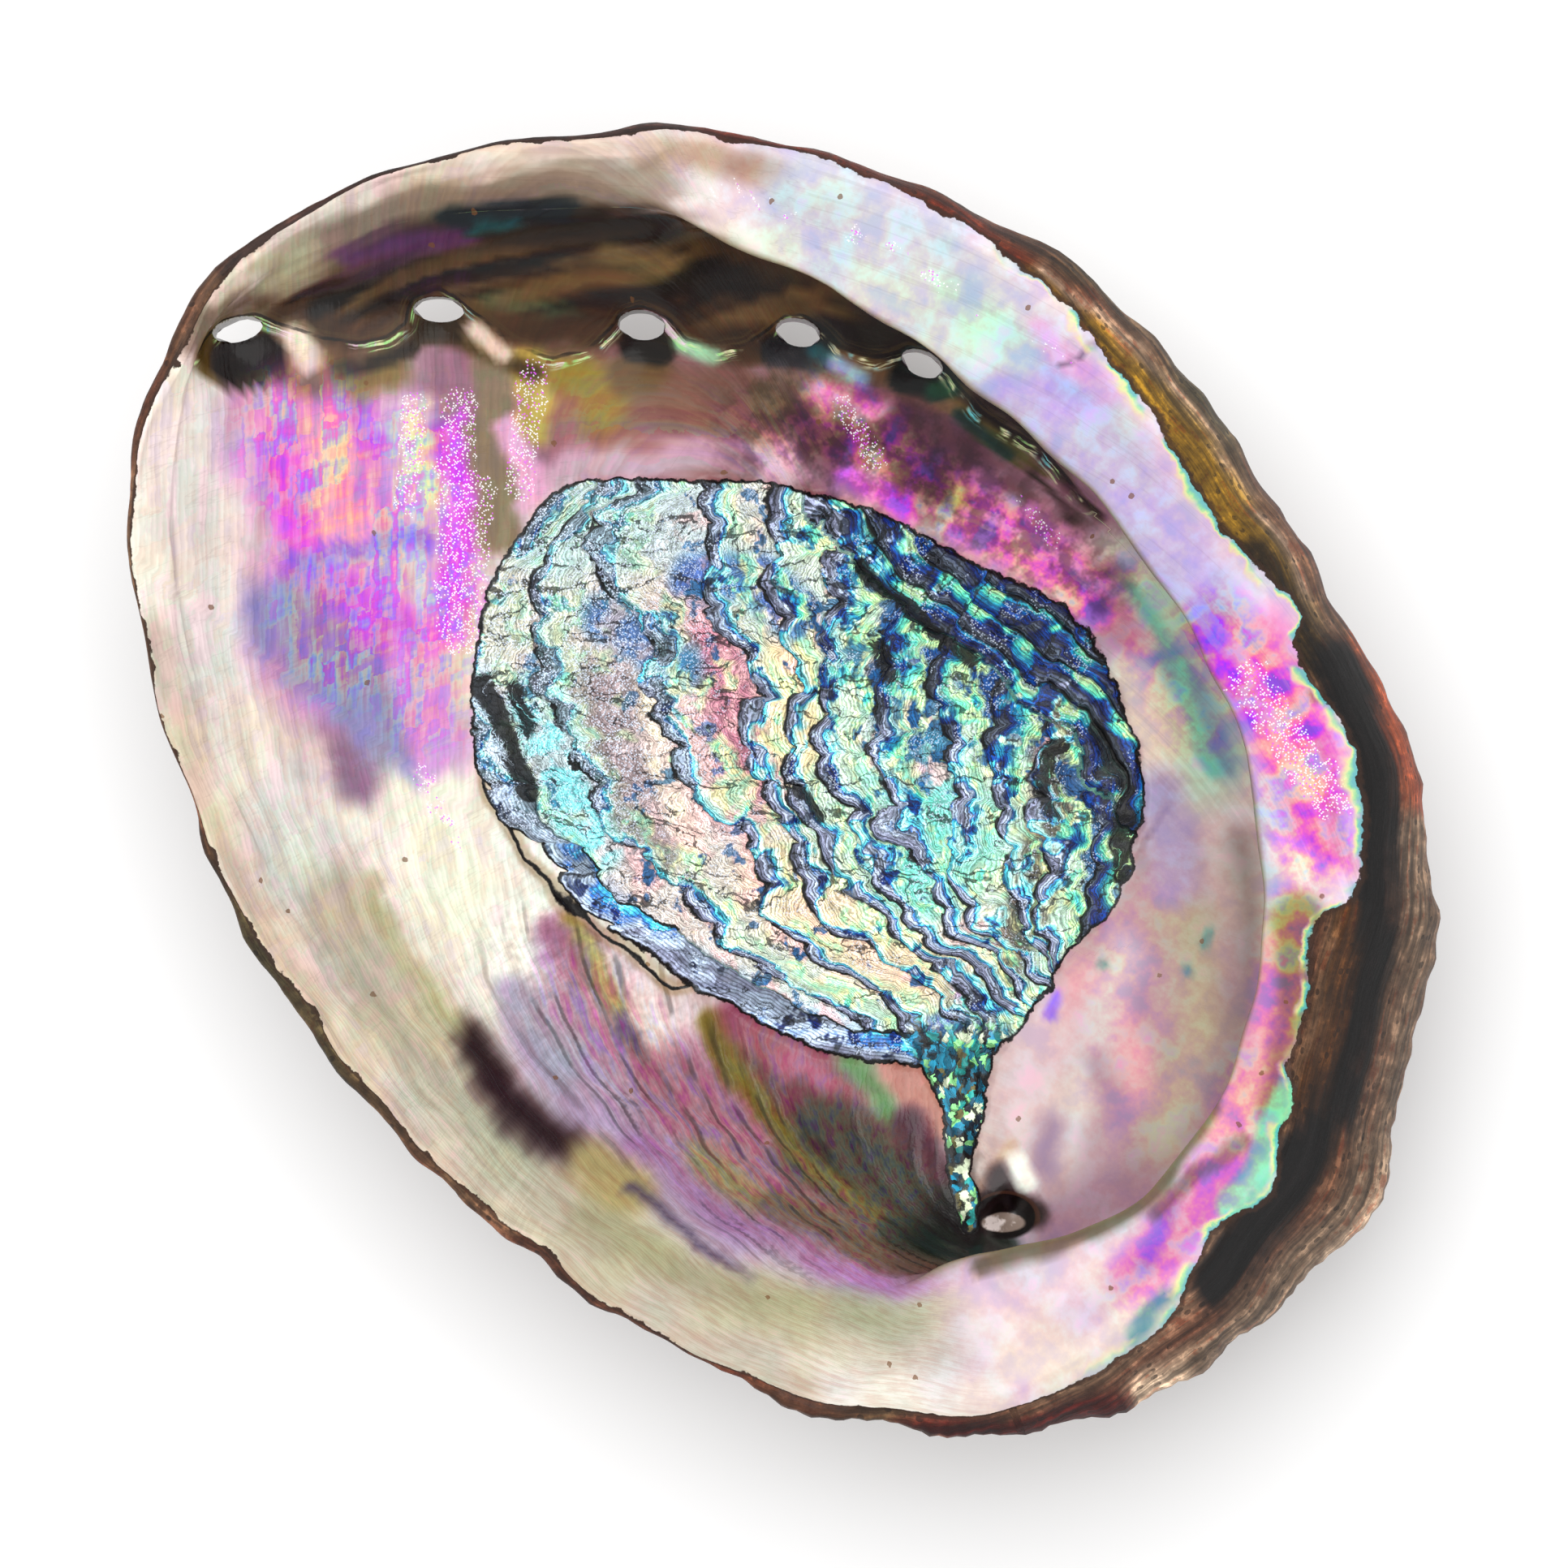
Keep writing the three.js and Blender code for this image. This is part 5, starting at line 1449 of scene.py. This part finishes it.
def fringed(colour, edge):
    """The pearl's thin rainbow line along its ragged border, broken here and there."""
    width = grain(here(7), 2)
    edge = edge * ramp(width, 0.4, 0.62, 1.5, 0.55)
    line = colour_ramp(ramp(edge, -1.5, 0), [
        (0, 90, 66, 92), (35, 97, 86, 66), (60, 92, 96, 62), (80, 56, 90, 62),
        (95, 30, 74, 74),
    ])
    broken = ramp(grain(here(5), 2), 0.4, 0.54, 0.1, 0.85)
    shown = ramp(edge, -1.5, -0.6) * field("fringe") * broken
    return blend(shown, colour, line)


def finish_material(colour, roughness, height):
    """The look of the material that was started last."""
    normal = place("Bump", {"Height": height, **BUMP}, "Normal")
    look = {"Base Color": scaled(colour, PAINT_STRENGTH), "Roughness": roughness, "Normal": normal, **COAT}
    place("OutputMaterial", {"Surface": place("BsdfPrincipled", look, "BSDF")}, None)


def finish_border(share, colour, one, other):
    """A material that changes from one skin to the other, each given as its roughness and height."""
    roughness = ramp(share, 0, 1, one[0], other[0])
    finish_material(colour, roughness, one[1] * (1 - share) + other[1] * share)


start_material("pearl")
finish_material(*pearl_skin())

start_material("scar")
finish_material(*scar_skin()[:3])

start_material("crust")
finish_material(*crust_skin())

start_material("pearl_to_scar")
pearl_colour, *pearl = pearl_skin()
scar_colour, *scar, scar_edge = scar_skin()
on_scar = ramp(scar_edge, -0.05, 0.08)
finish_border(on_scar, blend(on_scar, pearl_colour, scar_colour), pearl, scar)

start_material("pearl_to_crust")
pearl_colour, *pearl = pearl_skin()
crust_look, *rough_crust = crust_skin()
crust_edge = field("crust") + (grain(here(1.5), 4, 0.6) - 0.5) * 1.2
on_crust = ramp(crust_edge, -0.05, 0.1)
brown = ramp(crust_edge, -0.1, 0.05) * ramp(crust_edge, 0.9, 0.4)
both = blend(on_crust, fringed(pearl_colour, crust_edge), crust_look)
finish_border(on_crust, ink(both, (22, 13, 8), brown * 0.8), pearl, rough_crust)


def face_means(name):
    """Each face's mean of what its points carry under that name."""
    values = np.empty(len(mesh.vertices), np.float32)
    mesh.attributes[name].data.foreach_get("value", values)
    corners = np.empty(len(mesh.loops), np.int32)
    mesh.loops.foreach_get("vertex_index", corners)
    starts = np.empty(len(mesh.polygons), np.int32)
    mesh.polygons.foreach_get("loop_start", starts)
    counts = np.empty(len(mesh.polygons), np.int32)
    mesh.polygons.foreach_get("loop_total", counts)
    return np.add.reduceat(values[corners], starts) / counts


scar_mean, crust_mean = face_means("scar"), face_means("crust")
PEARL, SCAR, CRUST, PEARL_TO_SCAR, PEARL_TO_CRUST = range(5)
slots = np.full(len(mesh.polygons), PEARL, np.int32)
# Faces that lie between these distances from a border, in mm, have its material
SCAR_BORDER = (-1.3, 1.3)
CRUST_BORDER = (-2.6, 2.4)
slots[scar_mean > SCAR_BORDER[0]] = PEARL_TO_SCAR
slots[scar_mean > SCAR_BORDER[1]] = SCAR
slots[crust_mean > CRUST_BORDER[0]] = PEARL_TO_CRUST
slots[crust_mean > CRUST_BORDER[1]] = CRUST
mesh.polygons.foreach_set("material_index", slots)

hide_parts("shell")
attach(shell, "root")

# Floor, light and camera

FLOOR_HALF = 3
FLOOR_SHADE = (0.95, 0.95, 0.95, 1)
FLOOR_ROUGHNESS = 0.9
ALL_ROUND_LIGHT = 0.72
AIM_HEIGHT = 0.02
floor_corners = [(x * FLOOR_HALF, y * FLOOR_HALF, 0) for x, y in ((-1, -1), (1, -1), (1, 1), (-1, 1))]
floor_mesh = bpy.data.meshes.new("floor")
floor_mesh.from_pydata(floor_corners, [], [(0, 1, 2, 3)])
floor = put("floor", floor_mesh)
floor_material = bpy.data.materials.new("pale_floor")
floor_material.use_nodes = True
floor_shader = floor_material.node_tree.nodes["Principled BSDF"]
floor_shader.inputs["Base Color"].default_value = FLOOR_SHADE
floor_shader.inputs["Roughness"].default_value = FLOOR_ROUGHNESS
floor_mesh.materials.append(floor_material)

world = bpy.data.worlds.new("studio")
world.use_nodes = True
sky = world.node_tree.nodes["Background"]
sky.inputs["Color"].default_value = (1, 1, 1, 1)
sky.inputs["Strength"].default_value = ALL_ROUND_LIGHT
bpy.context.scene.world = world

# Up and right in the view are these directions of the row frame
UP_TURN = math.radians(90) + LONG_AXIS_TURN
VIEW_UP = Vector((math.cos(UP_TURN), math.sin(UP_TURN), 0))
VIEW_RIGHT = Vector((math.cos(LONG_AXIS_TURN), math.sin(LONG_AXIS_TURN), 0))


def soft_light(name, right, up, height, width, power):
    """A square lamp aimed at the shell, placed in metres as seen in the view, with its power in watts."""
    data = bpy.data.lights.new(name, "AREA")
    data.shape = "SQUARE"
    data.size = width
    data.energy = power
    lamp = put(name, data)
    lamp.location = VIEW_RIGHT * right + VIEW_UP * up + Vector((0, 0, height))
    aim = Vector((0, 0, AIM_HEIGHT)) - lamp.location
    lamp.rotation_euler = aim.to_track_quat("-Z", "Y").to_euler()


soft_light("key", -0.25, 0.42, 0.95, 1, 8)
soft_light("fill", 0.7, -0.5, 0.8, 0.9, 2.5)

camera_data = bpy.data.cameras.new("camera")
camera_data.sensor_width = SENSOR_WIDTH
camera_data.lens = SENSOR_WIDTH * CAMERA_ABOVE_RIM / SEEN_WIDTH
camera = put("camera", camera_data)
centre = Vector((shift[0] / MM_PER_METRE, shift[1] / MM_PER_METRE, 0))
camera.location = centre + Vector((0, 0, (RIM_LEVEL + CAMERA_ABOVE_RIM) / MM_PER_METRE))
camera.rotation_euler = (0, 0, LONG_AXIS_TURN)
scene = bpy.context.scene
scene.camera = camera
scene.view_settings.view_transform = "Standard"
scene.view_settings.exposure = 0

print("triangles", sum(len(p.vertices) - 2 for p in mesh.polygons))
